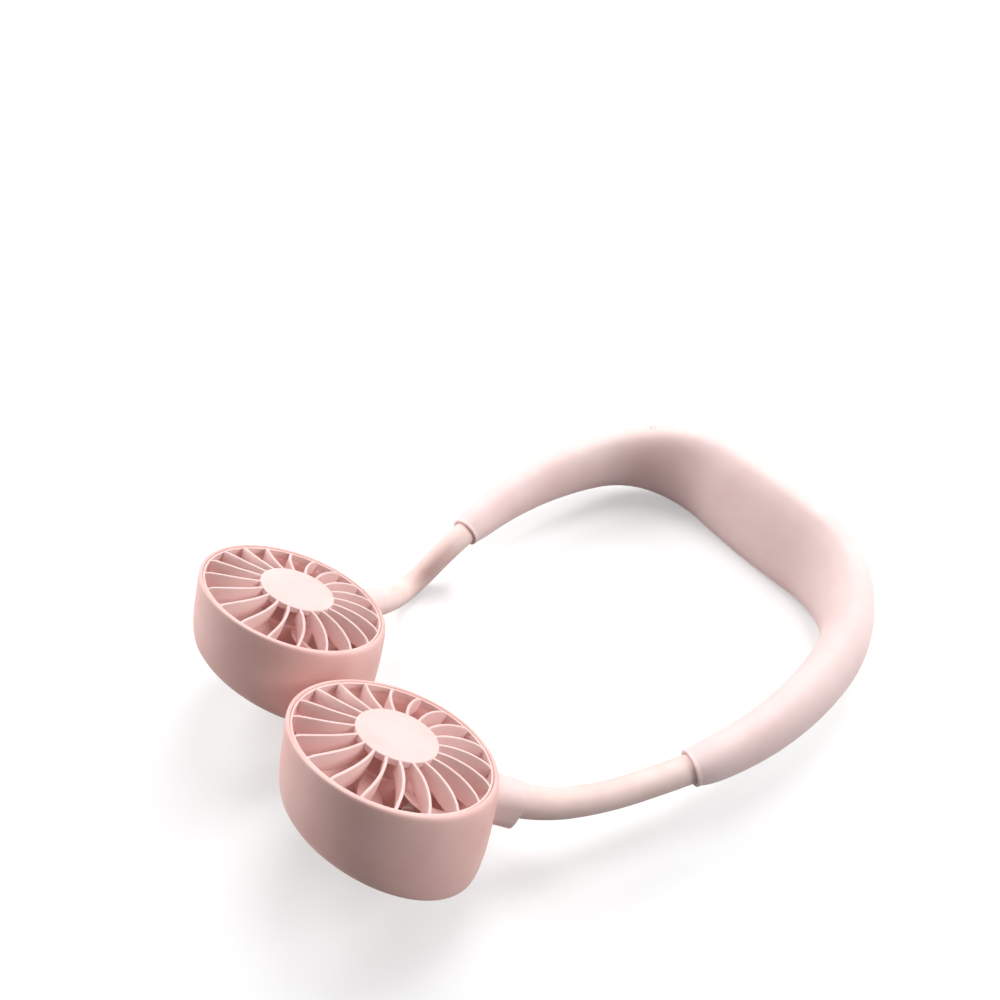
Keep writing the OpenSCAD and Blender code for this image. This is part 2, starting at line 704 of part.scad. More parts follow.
// One blade: a thin twisted sheet, flatter and wider towards its tip
blade_rows = 6;
blade_cols = 6;
blade_sweep = 24;
blade_half_angle = 21;
root_pitch_share = 0.8;
tip_pitch_share = 0.5;
function blade_point(i, j, up) = let (
    u = i / (blade_rows - 1), v = j / (blade_cols - 1) * 2 - 1,
    r = hub_d / 2 - hub_wall / 2 + (impeller_d - hub_d + hub_wall) / 2 * u,
    a = blade_sweep * u * u + blade_half_angle * v * (1 - 0.12 * u),
    rise = hub_h * (root_pitch_share + (tip_pitch_share - root_pitch_share) * u) / 2,
    camber = 0.12 * hub_h * (1 - v * v),
    z = -hub_drop - hub_h / 2 - rise * v + camber)
  [r * cos(a), r * sin(a), z + up * blade_t / 2 * (1 - 0.45 * v * v)];

module blade() {
  cells = blade_rows * blade_cols;
  last = blade_cols - 1;
  points = [for (up = [1, -1], i = [0:blade_rows - 1], j = [0:last]) blade_point(i, j, up)];
  function at(s, i, j) = s * cells + i * blade_cols + j;
  faces = [
    for (i = [0:blade_rows - 2], j = [0:last - 1]) each [
      [at(0, i, j), at(0, i, j + 1), at(0, i + 1, j + 1)], [at(0, i, j), at(0, i + 1, j + 1), at(0, i + 1, j)],
      [at(1, i, j), at(1, i + 1, j + 1), at(1, i, j + 1)], [at(1, i, j), at(1, i + 1, j), at(1, i + 1, j + 1)]],
    for (i = [0:blade_rows - 2]) each [
      [at(0, i, 0), at(0, i + 1, 0), at(1, i + 1, 0)], [at(0, i, 0), at(1, i + 1, 0), at(1, i, 0)],
      [at(0, i, last), at(1, i + 1, last), at(0, i + 1, last)], [at(0, i, last), at(1, i, last), at(1, i + 1, last)]],
    for (j = [0:last - 1]) each [
      [at(0, 0, j), at(1, 0, j), at(1, 0, j + 1)], [at(0, 0, j), at(1, 0, j + 1), at(0, 0, j + 1)],
      [at(0, blade_rows - 1, j), at(1, blade_rows - 1, j + 1), at(1, blade_rows - 1, j)],
      [at(0, blade_rows - 1, j), at(0, blade_rows - 1, j + 1), at(1, blade_rows - 1, j + 1)]]];
  polyhedron(points, faces);
}

module impeller(side) {
  boss_r = 1.3 * shaft_d;
  boss_h = bearing_top - hub_drop - move_gap;
  crown = hub_wall / 2;
  color(part_colour) at_head(side) difference() {
    union() {
      difference() {
        union() {
          translate([0, 0, -hub_drop - hub_h]) cylinder(d = hub_d, h = hub_h - crown);
          translate([0, 0, -hub_drop - crown]) cylinder(d1 = hub_d, d2 = hub_d - 2 * crown, h = crown);
          for (i = [0:blades - 1]) rotate(360 * i / blades) blade();
        }
        translate([0, 0, -hub_drop - hub_h - cut]) cylinder(d = hub_d - 2 * hub_wall, h = hub_h - hub_wall + cut);
      }
      translate([0, 0, -hub_drop - boss_h]) cylinder(r = boss_r, h = boss_h - crown);
    }
    translate([0, 0, -hub_drop - boss_h - cut]) cylinder(r = shaft_d / 2 + shaft_play / 2, h = boss_h + cut - hub_wall / 3);
  }
}
module left_impeller() { impeller(LEFT); }
module right_impeller() { impeller(RIGHT); }

module magnet(side) {
  outer_r = hub_d / 2 - hub_wall - fit_gap / 3;
  h = 0.72 * hub_h;
  color("dimgray") at_head(side) translate([0, 0, -hub_drop - hub_h]) difference() {
    cylinder(r = outer_r, h = h);
    translate([0, 0, -cut]) cylinder(r = outer_r - magnet_t, h = h + 2 * cut);
  }
}
module left_magnet() { magnet(LEFT); }
module right_magnet() { magnet(RIGHT); }

main_shell();
bottom_cover();
battery();
battery_pad();
circuit_board();
usb_socket();
tact_switch();
power_button();
status_light();
left_lead();
right_lead();
left_ferrule();
left_sleeve_base();
left_sleeve_middle();
left_sleeve_tip();
left_core_base();
left_core_lower();
left_core_upper();
left_core_tip();
left_collar();
left_housing();
left_front_grille();
left_rear_grille();
left_impeller();
left_shaft();
left_magnet();
left_stator();
left_bush();
left_motor_board();
left_motor_screws();
right_ferrule();
right_sleeve_base();
right_sleeve_middle();
right_sleeve_tip();
right_core_base();
right_core_lower();
right_core_upper();
right_core_tip();
right_collar();
right_housing();
right_front_grille();
right_rear_grille();
right_impeller();
right_shaft();
right_magnet();
right_stator();
right_bush();
right_motor_board();
right_motor_screws();
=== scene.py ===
# %% [markdown]
# # A neck fan that lies on a table
# The real object is a soft pink band that rests on the neck, with two bendable
# goosenecks. Each one carries a small fan in a drum. Blender could place every
# piece by eye, but the solid model already fixes where each one goes. So the
# solids are loaded first, and each visible piece is made finer in the same place.

# %% Load the solids
import math
import bmesh
import bpy
import numpy as np
from mathutils import Matrix, Vector


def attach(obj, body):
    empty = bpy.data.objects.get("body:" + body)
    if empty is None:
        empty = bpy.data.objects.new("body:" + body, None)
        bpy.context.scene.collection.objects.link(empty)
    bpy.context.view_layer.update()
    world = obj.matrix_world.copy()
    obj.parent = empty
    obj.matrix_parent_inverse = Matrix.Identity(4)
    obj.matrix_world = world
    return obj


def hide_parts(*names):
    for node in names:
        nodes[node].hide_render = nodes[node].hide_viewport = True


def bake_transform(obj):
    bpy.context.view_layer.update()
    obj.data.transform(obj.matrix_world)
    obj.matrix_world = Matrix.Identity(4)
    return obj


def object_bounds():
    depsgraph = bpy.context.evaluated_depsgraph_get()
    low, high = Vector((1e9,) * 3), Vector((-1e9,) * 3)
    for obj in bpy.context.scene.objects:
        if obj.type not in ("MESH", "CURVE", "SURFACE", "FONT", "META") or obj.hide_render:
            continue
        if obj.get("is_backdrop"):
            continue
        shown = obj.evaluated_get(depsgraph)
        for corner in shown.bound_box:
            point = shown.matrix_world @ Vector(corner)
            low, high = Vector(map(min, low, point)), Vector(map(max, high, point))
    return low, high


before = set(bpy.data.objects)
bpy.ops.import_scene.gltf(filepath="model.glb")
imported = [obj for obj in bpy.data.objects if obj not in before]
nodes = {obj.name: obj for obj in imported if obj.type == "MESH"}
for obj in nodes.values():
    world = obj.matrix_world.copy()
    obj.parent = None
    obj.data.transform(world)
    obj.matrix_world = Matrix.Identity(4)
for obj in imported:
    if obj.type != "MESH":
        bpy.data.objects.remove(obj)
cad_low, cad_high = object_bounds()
print(len(nodes), "solids, box in mm:", [round(1000 * (b - a), 1) for a, b in zip(cad_low, cad_high)])

# %% [markdown]
# ## Sizes of the band
# A moulded product is drawn from a few sizes that its pieces share. They are in
# millimetres and carry the names of the real features, so a curve that two
# pieces share is worked out once and the pieces meet. The drum's width comes
# first, because the back is made to match it. The rest stand where first used.

# %% Sizes of the band in millimetres
belly_d = 73.8
back_half, corner_r, corner_angle = 0.68 * belly_d - 24.7, 47.5, math.radians(74)
side_len, side_angle = 73.5, math.radians(31.2)
side_r = side_len / side_angle
back_h, back_t, side_h, side_t, end_d = 42.5, 16.4, 31.5, 19.4, 14.6
lean, fade, fade_rate, foot_cut = 0.24, 0.36, 12, 0.6
wall, fit_gap, move_gap = 1.8, 0.15, 0.35
end_taper, taper_len = 0.7, 9.0
print("back", round(2 * back_half, 1), "mm long,", back_h, "mm tall and", back_t, "mm thick")

# %% [markdown]
# ## The camera
# The photograph is taken from above the wearer's left front. Its lens and
# place were worked out once from the two round rims and the band's outline.
# Blender's camera looks along its own -Z axis, so the three rows are turned.

# %% Camera at the photograph's viewpoint
right_row = Vector((0.5736, 0.8173, -0.0544))
down_row = Vector((0.5566, -0.4377, -0.7061))
ahead_row = Vector((-0.6009, 0.3748, -0.7060))
camera_place, film_mm, focal_px, picture_px = (0.17819, -0.23956, 0.32200), 36.0, 940, 1000
camera = bpy.data.objects.new("camera", bpy.data.cameras.new("camera"))
bpy.context.scene.collection.objects.link(camera)
camera_turn = Matrix((right_row, -down_row, -ahead_row)).transposed().to_4x4()
camera.matrix_world = Matrix.Translation(camera_place) @ camera_turn
camera.data.sensor_width = film_mm
camera.data.lens = film_mm * focal_px / picture_px
camera.data.clip_start, camera.data.clip_end = 0.01, 20.0
bpy.context.scene.camera = camera
print("camera lens", round(camera.data.lens, 2), "mm")

# %% [markdown]
# ## Finishes
# Nearly all of the fan is injection-moulded plastic. A mould leaves a very fine
# grain, and plastic is never one flat colour: it drifts a little over a few
# centimetres. Image textures would need unwrapping, so the grain and the drift
# come from noise in object coordinates, with scales worked out from millimetres.

# %% Helpers for colours and nodes
def colour(code):
    """An sRGB hex code as the linear colour that shaders work in."""
    parts = [int(code[i:i + 2], 16) / 255 for i in (1, 3, 5)]
    return (*[c / 12.92 if c <= 0.04045 else ((c + 0.055) / 1.055) ** 2.4 for c in parts], 1.0)


def add(tree, kind, inputs=None, **settings):
    """Adds a node. A value in inputs is set, and a socket there is linked."""
    node = tree.nodes.new(kind)
    for key, value in settings.items():
        setattr(node, key, value)
    for key, value in (inputs or {}).items():
        if isinstance(value, bpy.types.NodeSocket):
            tree.links.new(value, node.inputs[key])
        else:
            node.inputs[key].default_value = value
    return node


def per_mm(size):
    """Noise scale, in object coordinates, of a pattern that repeats each size millimetres."""
    return 1000.0 / size


print("the band's pink in linear light:", [round(c, 3) for c in colour("#FAE3E0")[:3]])

# %% Helper that makes a finish
# Blender's noise seldom leaves this range, so it is stretched to run from 0 to 1.
noise_low, noise_high = 0.3, 0.7


def finish_of(name, pale, deep, rough, grain, relief, drift=18.0, metallic=0.0, ior=1.5):
    """A surface whose colour drifts from pale to deep over drift mm.

    Its fine grain has that size and relief in mm, and varies the roughness a little.
    """
    material = bpy.data.materials.new(name)
    material.use_nodes = True
    tree = material.node_tree
    tree.nodes.clear()
    place = add(tree, "ShaderNodeTexCoord").outputs["Object"]
    slow = add(tree, "ShaderNodeTexNoise", {
        "Vector": place, "Scale": per_mm(drift), "Detail": 3.0, "Roughness": 0.5})
    fine = add(tree, "ShaderNodeTexNoise", {
        "Vector": place, "Scale": per_mm(grain), "Detail": 4.0, "Roughness": 0.6})
    blend = add(tree, "ShaderNodeMapRange", {
        "Value": slow.outputs["Fac"], "From Min": noise_low, "From Max": noise_high})
    tint = add(tree, "ShaderNodeMix", {"Factor": blend.outputs["Result"]}, data_type="RGBA")
    tint.inputs[6].default_value, tint.inputs[7].default_value = colour(pale), colour(deep)
    shine = add(tree, "ShaderNodeMapRange", {
        "Value": fine.outputs["Fac"], "From Min": noise_low, "From Max": noise_high,
        "To Min": rough - 0.05, "To Max": rough + 0.07})
    bump = add(tree, "ShaderNodeBump", {
        "Height": fine.outputs["Fac"], "Distance": relief / 1000, "Strength": 0.6})
    shader = add(tree, "ShaderNodeBsdfPrincipled", {
        "Base Color": tint.outputs[2], "Roughness": shine.outputs["Result"],
        "Normal": bump.outputs["Normal"], "Metallic": metallic, "IOR": ior})
    add(tree, "ShaderNodeOutputMaterial", {"Surface": shader.outputs["BSDF"]})
    return material


# ABS from a mould with a spark grain, sprayed soft to the touch: matt, almost no highlight.
soft_abs = finish_of("soft_touch_abs_band", "#FAE3E0", "#F6D8D5", 0.58, 0.5, 0.03)
print(soft_abs.name, "is made by", len(soft_abs.node_tree.nodes), "nodes")

# %% Finishes of the other visible plastic
# The same plastic on the heads, a shade pinker than the band: partly the heads' own tone, partly
# painted shade of the drums' sides.
head_abs_partly_painted_shade = finish_of("soft_touch_abs_drums_partly_painted_shade", "#F6CCC5", "#F0BEB7", 0.55, 0.5, 0.03)
# ABS from a smoother mould: each vane's edge catches a broad, faint highlight.
grille_abs = finish_of("satin_abs_grille", "#F8DBD7", "#F1CDC9", 0.42, 0.35, 0.015)
# Silicone rubber, moulded as a tube: dead matt, and its surface ripples slightly.
silicone = finish_of("moulded_silicone_sleeve", "#FBE3DD", "#F5D6CF", 0.66, 0.9, 0.05,
                     drift=9.0, ior=1.42)
# PBT, the stiff plastic of small fan blades: a little deeper, because it is not sprayed.
blade_pbt = finish_of("moulded_pbt_blades", "#EBC4BF", "#DFB2AD", 0.45, 0.4, 0.02)
# Polished ABS of the button's cap: smoother than the band round it.
cap_abs = finish_of("polished_abs_button", "#F9E9E5", "#F4DED9", 0.32, 0.3, 0.008)
# Clear acrylic lens over the status light: smooth and faintly milky.
lens_acrylic = finish_of("milky_acrylic_lens", "#F2EEEC", "#E6DEDC", 0.15, 0.3, 0.004, ior=1.49)
print("visible finishes:", [m.name for m in bpy.data.materials])

# %% Finishes of the hidden pieces
# Laminated foil of a lithium pouch: a dull metal skin that is creased by handling.
pouch_foil = finish_of("laminated_pouch_foil", "#B4BAC2", "#9EA5AF", 0.38, 2.5, 0.12, metallic=0.8)
# Closed-cell rubber foam: near black, and full of small open cells where it is cut.
cell_foam = finish_of("closed_cell_foam", "#2B2B2D", "#1D1D1F", 0.9, 0.6, 0.2)
# Glass-fibre laminate under green solder mask: glossy, with the weave showing faintly.
solder_mask = finish_of("solder_mask_laminate", "#1E6B3C", "#17552F", 0.28, 0.7, 0.03)
# Tinned steel of the charging socket's shell: bright, with fine drawing marks.
tinned_steel = finish_of("tinned_steel_socket", "#C9CBCE", "#B2B5BA", 0.28, 0.6, 0.01, metallic=1.0)
# Black nylon of the small switch: moulded, slightly dusty looking.
black_nylon = finish_of("moulded_nylon_switch", "#222224", "#18181A", 0.5, 0.4, 0.03)
# PVC insulation of the leads: extruded, so smooth and a little shiny.
red_pvc = finish_of("extruded_pvc_lead", "#B5201C", "#981814", 0.35, 1.2, 0.02)
# Annealed aluminium wire of the bendable core: drawn, dull, and marked by its die.
soft_aluminium = finish_of("drawn_aluminium_core", "#B9BBBF", "#9C9FA4", 0.42, 0.8, 0.03, metallic=1.0)
# Ground carbon steel of shafts and screws: fine grinding marks.
ground_steel = finish_of("ground_steel_shaft", "#B6B8BC", "#9A9CA0", 0.3, 0.4, 0.01, metallic=1.0)
# Sintered ferrite of the magnet ring: charcoal grey and grainy.
ferrite = finish_of("sintered_ferrite_magnet", "#3A3A3E", "#2B2B2E", 0.6, 0.5, 0.04)
# Enamelled copper wire of the coils: orange metal under a glossy varnish.
coil_copper = finish_of("enamelled_copper_coils", "#B9652F", "#8F4A20", 0.3, 0.5, 0.08, metallic=0.9)
# Oil-filled bronze of the bearing bush: sintered, porous and golden.
oil_bronze = finish_of("sintered_bronze_bush", "#B38A4C", "#94703A", 0.45, 0.5, 0.04, metallic=1.0)
print("all finishes:", len(bpy.data.materials))

# %% [markdown]
# ## Making pieces from rings
# The band, the sleeves and the drums are all one section that changes along a
# path. A ring of points is worked out at each step and joined to the next, as
# a shipbuilder skins frames. It keeps exact sizes, which sculpting would not.

# %% Helper that makes a closed object
weld, crease = 2e-6, 38.0


def keep_creases(form, sharp):
    """Marks each edge that turns by more than sharp degrees, so it stays crisp."""
    for edge in form.edges:
        edge.smooth = len(edge.link_faces) == 2 and edge.calc_face_angle() < math.radians(sharp)


def as_object(name, points, faces, material, sharp=crease):
    """A closed mesh from points in millimetres, with outward faces and its sharp edges kept."""
    mesh = bpy.data.meshes.new(name)
    mesh.from_pydata((np.asarray(points, float) / 1000).tolist(), [], faces)
    form = bmesh.new()
    form.from_mesh(mesh)
    bmesh.ops.remove_doubles(form, verts=form.verts, dist=weld)
    many_sided = [face for face in form.faces if len(face.verts) > 4]
    bmesh.ops.triangulate(form, faces=many_sided, ngon_method="EAR_CLIP")
    bmesh.ops.recalc_face_normals(form, faces=form.faces)
    keep_creases(form, sharp)
    for face in form.faces:
        face.smooth = True
    form.to_mesh(mesh)
    form.free()
    mesh.materials.append(material)
    made = bpy.data.objects.new(name, mesh)
    bpy.context.scene.collection.objects.link(made)
    return made


def show(piece, body, slot, *replaced):
    """Gives a piece its body and hides the solids that it stands for. The slot argument is not used."""
    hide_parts(*replaced)
    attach(piece, body)
    print(piece.name, len(piece.data.polygons), "faces on", body)


print("points closer than", weld * 1e6, "micrometres are welded")

# %% Helpers that turn rings of points into a skin
def skin(rings, closed=False):
    """A skin over rings. A closed one joins its last ring to its first; an open one gets end faces."""
    rings = np.asarray(rings, float)
    count, size = rings.shape[:2]
    faces = []
    for i in range(count if closed else count - 1):
        a, b = i * size, (i + 1) % count * size
        faces += [(a + j, a + (j + 1) % size, b + (j + 1) % size, b + j) for j in range(size)]
    if not closed:
        faces += [tuple(range(size)), tuple(range((count - 1) * size, count * size))]
    return rings.reshape(-1, 3), faces


def join(*parts):
    """Several (points, faces) as one."""
    points, faces, start = [], [], 0
    for p, f in parts:
        points.append(np.asarray(p, float))
        faces += [tuple(k + start for k in face) for face in f]
        start += len(p)
    return np.vstack(points), faces


def turned(profile, sides=128):
    """A closed outline of (radius, height) spun round Z. A radius of zero makes a pole."""
    angles = np.linspace(0, 2 * np.pi, sides, endpoint=False)
    spokes = np.stack([np.cos(angles), np.sin(angles)], 1)
    rings = [np.column_stack([r * spokes, np.full(sides, h)]) for r, h in profile]
    return skin(rings, closed=True)


washer = turned([(1, 0), (2, 0), (2, 1), (1, 1)], sides=8)
print("an eight-sided washer has", len(washer[0]), "points and", len(washer[1]), "faces")

# %% Helpers that place a piece and round an outline
def placed(part, matrix):
    """(points, faces) moved by a 4 x 4 matrix in millimetres."""
    points, faces = part
    return points @ matrix[:3, :3].T + matrix[:3, 3], faces


def frame_of(origin, x_axis, y_axis, z_axis):
    """The 4 x 4 matrix that puts a piece at origin with its own axes along these."""
    matrix = np.eye(4)
    for k, column in enumerate((x_axis, y_axis, z_axis, origin)):
        matrix[:3, k] = column
    return matrix


def shifted(*place):
    """The 4 x 4 matrix of a plain move to a place."""
    return frame_of(place, (1, 0, 0), (0, 1, 0), (0, 0, 1))


def rounded(corners, radius, steps=4):
    """An outline with its corners rounded. radius is one value or one per corner."""
    corners = np.asarray(corners, float)
    sizes = np.broadcast_to(radius, len(corners))
    out = []
    for i, corner in enumerate(corners):
        before, after = corners[i - 1] - corner, corners[(i + 1) % len(corners)] - corner
        la, lb = np.linalg.norm(before), np.linalg.norm(after)
        size = min(sizes[i], 0.45 * la, 0.45 * lb)
        if size <= 0:
            out.append(corner)
            continue
        a, b = corner + before / la * size, corner + after / lb * size
        for t in np.linspace(0, 1, steps + 1):
            out.append((1 - t) ** 2 * a + 2 * t * (1 - t) * corner + t ** 2 * b)
    return np.array(out)


print("a rounded square has", len(rounded([(0, 0), (1, 0), (1, 1), (0, 1)], 0.2)), "points")

# %% [markdown]
# ## The band's path
# The band follows a straight back, two tight rear corners and two long, nearly
# straight sides. Its section is squarish and tall at the back and melts into a
# round bar, so one formula gives every section from its share of the way.

# %% The band's centre line
corner_len = corner_r * corner_angle
half_len = back_half + corner_len + side_len
mid_z = back_h / 2 - foot_cut
foot_y = lean * mid_z


def along(s):
    """Side, centre point, heading and share of the way at distance s from the back's middle."""
    d, side = abs(s), -1 if s < 0 else 1
    x0 = back_half + (corner_r - side_r) * math.sin(corner_angle)
    y0 = foot_y - corner_r + (corner_r - side_r) * math.cos(corner_angle)
    if d < back_half:
        turn, x, y = 0.0, d, foot_y
    elif d < back_half + corner_len:
        turn = (d - back_half) / corner_r
        x, y = back_half + corner_r * math.sin(turn), foot_y + corner_r * (math.cos(turn) - 1)
    else:
        turn = corner_angle + (d - back_half - corner_len) / side_r
        x, y = x0 + side_r * math.sin(turn), y0 + side_r * math.cos(turn)
    return side, x, y, turn, d / half_len


print("band length along its middle", round(2 * half_len, 1), "mm, end height", round(mid_z, 1))

# %% The band's sections
def bulk(q):
    """Share of the back's bulk that is left at share q of the way to the end."""
    at = [1 / (1 + math.exp((v - fade) * fade_rate)) for v in (q, 0, 1)]
    return (at[0] - at[2]) / (at[1] - at[2])


def height_at(q):
    """Height of the band at share q of the way to the end."""
    return side_h + (end_d - side_h) * q * q + (back_h - side_h) * bulk(q)


def band_ring(s, angles, insets):
    """Points of the band's section at s, at these angles and depths below its surface."""
    side, x, y, turn, q = along(s)
    high = height_at(q)
    thick = side_t + (end_d - side_t) * q * q + (back_t - side_t) * bulk(q)
    power = 2 / (2 + bulk(q))
    insets = insets + end_taper * max(0.0, (abs(s) - half_len + taper_len) / taper_len) ** 2
    c, v = np.cos(angles), np.sin(angles)
    across = np.sign(c) * np.abs(c) ** power * (thick / 2 - insets)
    up = np.sign(v) * np.abs(v) ** power * (high / 2 - insets)
    out = across + lean * bulk(q) * up
    return np.column_stack([side * (x + out * math.sin(turn)), y + out * math.cos(turn), mid_z + up])


print("height at the back, half way and at the end:", [round(height_at(q), 1) for q in (0, 0.5, 1)])

# %% [markdown]
# ## The shell and its lid
# The band is two mouldings that snap together: a shell, and a lid that closes
# it from below. On the real band the joint shows only as a fine dark line low
# on the inside. Both are skinned as walls with rounded edges, so that line is
# a real gap with depth, and not a painted one.

# %% Skin the shell and the lid
# In degrees round the section: where the two seams lie, and half of their width.
seam_inner, seam_outer, seam_half = 232.0, -45.0, math.degrees(0.25 / back_h)
edge_turn, edge_depths = 0.9, [0.1, 0.35, wall - 0.3]
stations, shell_points, lid_points = 221, 110, 40


def wall_outline(start, end, count):
    """Angles and insets round a wall from one seam to the other and back inside."""
    nearly = 0.3 * edge_turn
    outer = np.linspace(start + edge_turn, end - edge_turn, count)
    inner = np.linspace(end, start, count)
    angles = [outer, [end - nearly, end, end], inner, [start, start, start + nearly]]
    insets = [np.zeros(count), edge_depths, np.full(count, wall), edge_depths[::-1]]
    return np.radians(np.concatenate(angles)), np.concatenate(insets)


def band_wall(name, start, end, count):
    """A wall of the band between two seams, cut flat where it rests."""
    angles, insets = wall_outline(start, end, count)
    rings = [band_ring(s, angles, insets) for s in np.linspace(-half_len, half_len, stations)]
    points, faces = skin(rings)
    points[:, 2] = np.maximum(points[:, 2], 0.0)
    return as_object(name, points, faces, soft_abs)


shell = band_wall("band_shell", seam_outer + seam_half, seam_inner - seam_half, shell_points)
lid = band_wall("band_lid", seam_inner + seam_half, 360 + seam_outer - seam_half, lid_points)
print("shell faces", len(shell.data.polygons), "lid faces", len(lid.data.polygons))

# %% [markdown]
# ## Openings in the shell
# The power button comes through the back wall, the status light through the
# top and the charging socket through the lid. A mould makes these with pins,
# and a Boolean with a cutter of the pin's shape does the same here.

# %% Places of the button, the light and the socket
board_len, board_t = 50.0, 1.0
button_d, button_proud, light_r = 8.0, 0.8, 1.0
socket_w, socket_t, socket_room, slot_corner = 7.5, 2.7, 0.3, 0.8
button_hole, light_hole, socket_hole = (2.5, 12.0), (-1.2, 3.0), (-24.0, -14.5)
board_y = back_t / 2 - wall - 5 * board_t
tilt = math.atan(lean)
back_up = np.array([0, math.sin(tilt), math.cos(tilt)])
back_out = np.array([0, math.cos(tilt), -math.sin(tilt)])
back_frame = frame_of((0, foot_y, mid_z), (1, 0, 0), back_out, back_up)
button_frame = back_frame @ frame_of((-0.32 * board_len, 0, 0), (1, 0, 0), (0, 0, -1), (0, 1, 0))
socket_frame = back_frame @ shifted(0.28 * board_len, board_y + (board_t + socket_t) / 2, 0)
_, light_x, light_y, light_turn, light_q = along(-0.38 * half_len)
light_h = height_at(light_q)
light_lift = lean * bulk(light_q) * light_h / 2
light_place = (-light_x - light_lift * math.sin(light_turn),
               light_y + light_lift * math.cos(light_turn), mid_z + light_h / 2)
light_frame = shifted(*light_place)
print("status light at", [round(v, 1) for v in light_place], "mm")

# %% Cut the openings
def cut_by(target, cutter_part):
    """Takes a cutter's volume out of a piece and keeps its name and finish."""
    cutter = as_object("cutter", *cutter_part, soft_abs)
    step = target.modifiers.new("opening", "BOOLEAN")
    step.operation, step.solver, step.object = "DIFFERENCE", "EXACT", cutter
    graph = bpy.context.evaluated_depsgraph_get()
    mesh = bpy.data.meshes.new_from_object(target.evaluated_get(graph))
    target.modifiers.clear()
    target.data = mesh
    bpy.data.objects.remove(cutter)
    form = bmesh.new()
    form.from_mesh(mesh)
    keep_creases(form, crease)
    form.to_mesh(mesh)
    form.free()


def pin(radius, low, high):
    """A round cutter between two heights."""
    return turned([(0, low), (radius, low), (radius, high), (0, high)], 96)


cut_by(shell, placed(pin(button_d / 2 + move_gap, *button_hole), button_frame))
cut_by(shell, placed(pin(light_r + fit_gap, *light_hole), light_frame))
half_w, half_t = socket_w / 2 + socket_room, socket_t / 2 + socket_room
corners = [(-half_w, -half_t), (half_w, -half_t), (half_w, half_t), (-half_w, half_t)]
slot = rounded(corners, slot_corner)
slot_rings = [np.column_stack([slot, np.full(len(slot), z)]) for z in socket_hole]
cut_by(lid, placed(skin(slot_rings), socket_frame))
show(shell, "neckband", "shell", "main_shell")
show(lid, "neckband", "shell", "bottom_cover")

# %% [markdown]
# ## Button and light
# The button is a turned cap: a shallow dish for the fingertip and a rounded
# edge, which catch the light differently from the band. The light is a small
# clear lens that stands a hair above the band, and both are spun outlines.

# %% Spin the button and the lens
cap_r, cap_top = button_d / 2, back_t / 2 + button_proud
cap_low = board_y + 2.4 * board_t + 0.5 + fit_gap / 2
cap = [(0, cap_low), (cap_r - 0.2, cap_low), (cap_r, cap_low + 0.4), (cap_r, cap_top - 0.6),
       (cap_r - 0.1, cap_top - 0.25), (cap_r - 0.4, cap_top - 0.03), (cap_r - 0.7, cap_top),
       (2.9, cap_top - 0.1), (1.8, cap_top - 0.28), (0, cap_top - 0.34)]
button = as_object("power_button_cap", *placed(turned(cap, 96), button_frame), cap_abs, sharp=50)
show(button, "power_button", "button", "power_button")
lens = [(0, -1.4), (0.9, -1.4), (light_r, -1.3), (light_r, -0.05), (0.9, 0.03), (0.6, 0.09), (0, 0.12)]
light = as_object("status_light_lens", *placed(turned(lens, 48), light_frame), lens_acrylic, sharp=50)
show(light, "neckband", "light", "status_light")

# %% [markdown]
# ## Where the necks go
# Each gooseneck bends in three places, one after the other. Every bend is an
# arc, and the end of one is the start of the next, so the frames are chained.
# The last frame gives the collar, the drum and the fan their place.

# %% Bends of the necks, one behind the other
neck_arc, ferrule_len, collar_drop, collar_len = 20.9, 3.0, 9.0, 8.5
side_name = {1: "left", -1: "right"}
bends = {1: (3.7, 9.4, 21.5), -1: (64.6, 101.4, 19.7)}
rolls = {1: (13.6, 45.7, 43.1), -1: (150.4, -28.4, 76.7)}
turns = {1: 22.5, -1: -9.8}


def spun(axis, angle):
    """The 3 x 3 array of a turn about an axis."""
    return np.array(Matrix.Rotation(angle, 3, axis))


def neck_steps(side, k, shares):
    """Positions and frames along bend k of a neck."""
    start, base = neck_starts[side][k]
    bend, roll = math.radians(bends[side][k]), math.radians(rolls[side][k])
    radius = neck_arc / bend
    out = []
    for share in shares:
        a = bend * share
        local = spun("Z", roll) @ np.array([radius * (1 - math.cos(a)), 0, radius * math.sin(a)])
        out.append((start + base @ local, base @ spun("Z", roll) @ spun("Y", a) @ spun("Z", -roll)))
    return out


for side, arm in side_name.items():
    print("the", arm, "neck bends by", bends[side], "degrees")

# %% Chain the frames of each neck
neck_starts, head_frames, end_frames = {}, {}, {}
for side in (1, -1):
    _, x, y, turn, _ = along(half_len)
    heading = np.array([side * math.cos(turn), -math.sin(turn), 0])
    base = np.column_stack([(0, 0, 1), np.cross(heading, (0, 0, 1)), heading])
    end = np.array([side * x, y, mid_z])
    end_frames[side] = frame_of(end, *base.T)
    neck_starts[side] = [(end + ferrule_len * heading, base)]
    for k in range(3):
        neck_starts[side].append(neck_steps(side, k, [1.0])[0])
    tip, last = neck_starts[side][3]
    head = last @ spun("Z", math.radians(turns[side]))
    centre = tip + head @ np.array([collar_drop, 0, collar_len + belly_d / 2])
    head_frames[side] = frame_of(centre, -head[:, 2], head[:, 1], head[:, 0])
    print(side_name[side], "head centre", centre.round(1), "faces", head[:, 0].round(2))

# %% [markdown]
# ## Sleeves
# A sleeve is a soft tube over the metal core, and on the real fan it bends.
# Each is one tube along one bend.

# %% Skin the sleeves
sleeve_r, root_swell, collar_swell, swell_power = 5.0, 0.15, 1.05, 6
sleeve_rings, firm_rings, tuck = 33, 6, 0.6
core_d, lip_len = 5.2, 1.6
bore = core_d / 2 + fit_gap
round_angles = np.linspace(0, 2 * np.pi, 64, endpoint=False)
circle = np.stack([np.cos(round_angles), np.sin(round_angles)], 1)


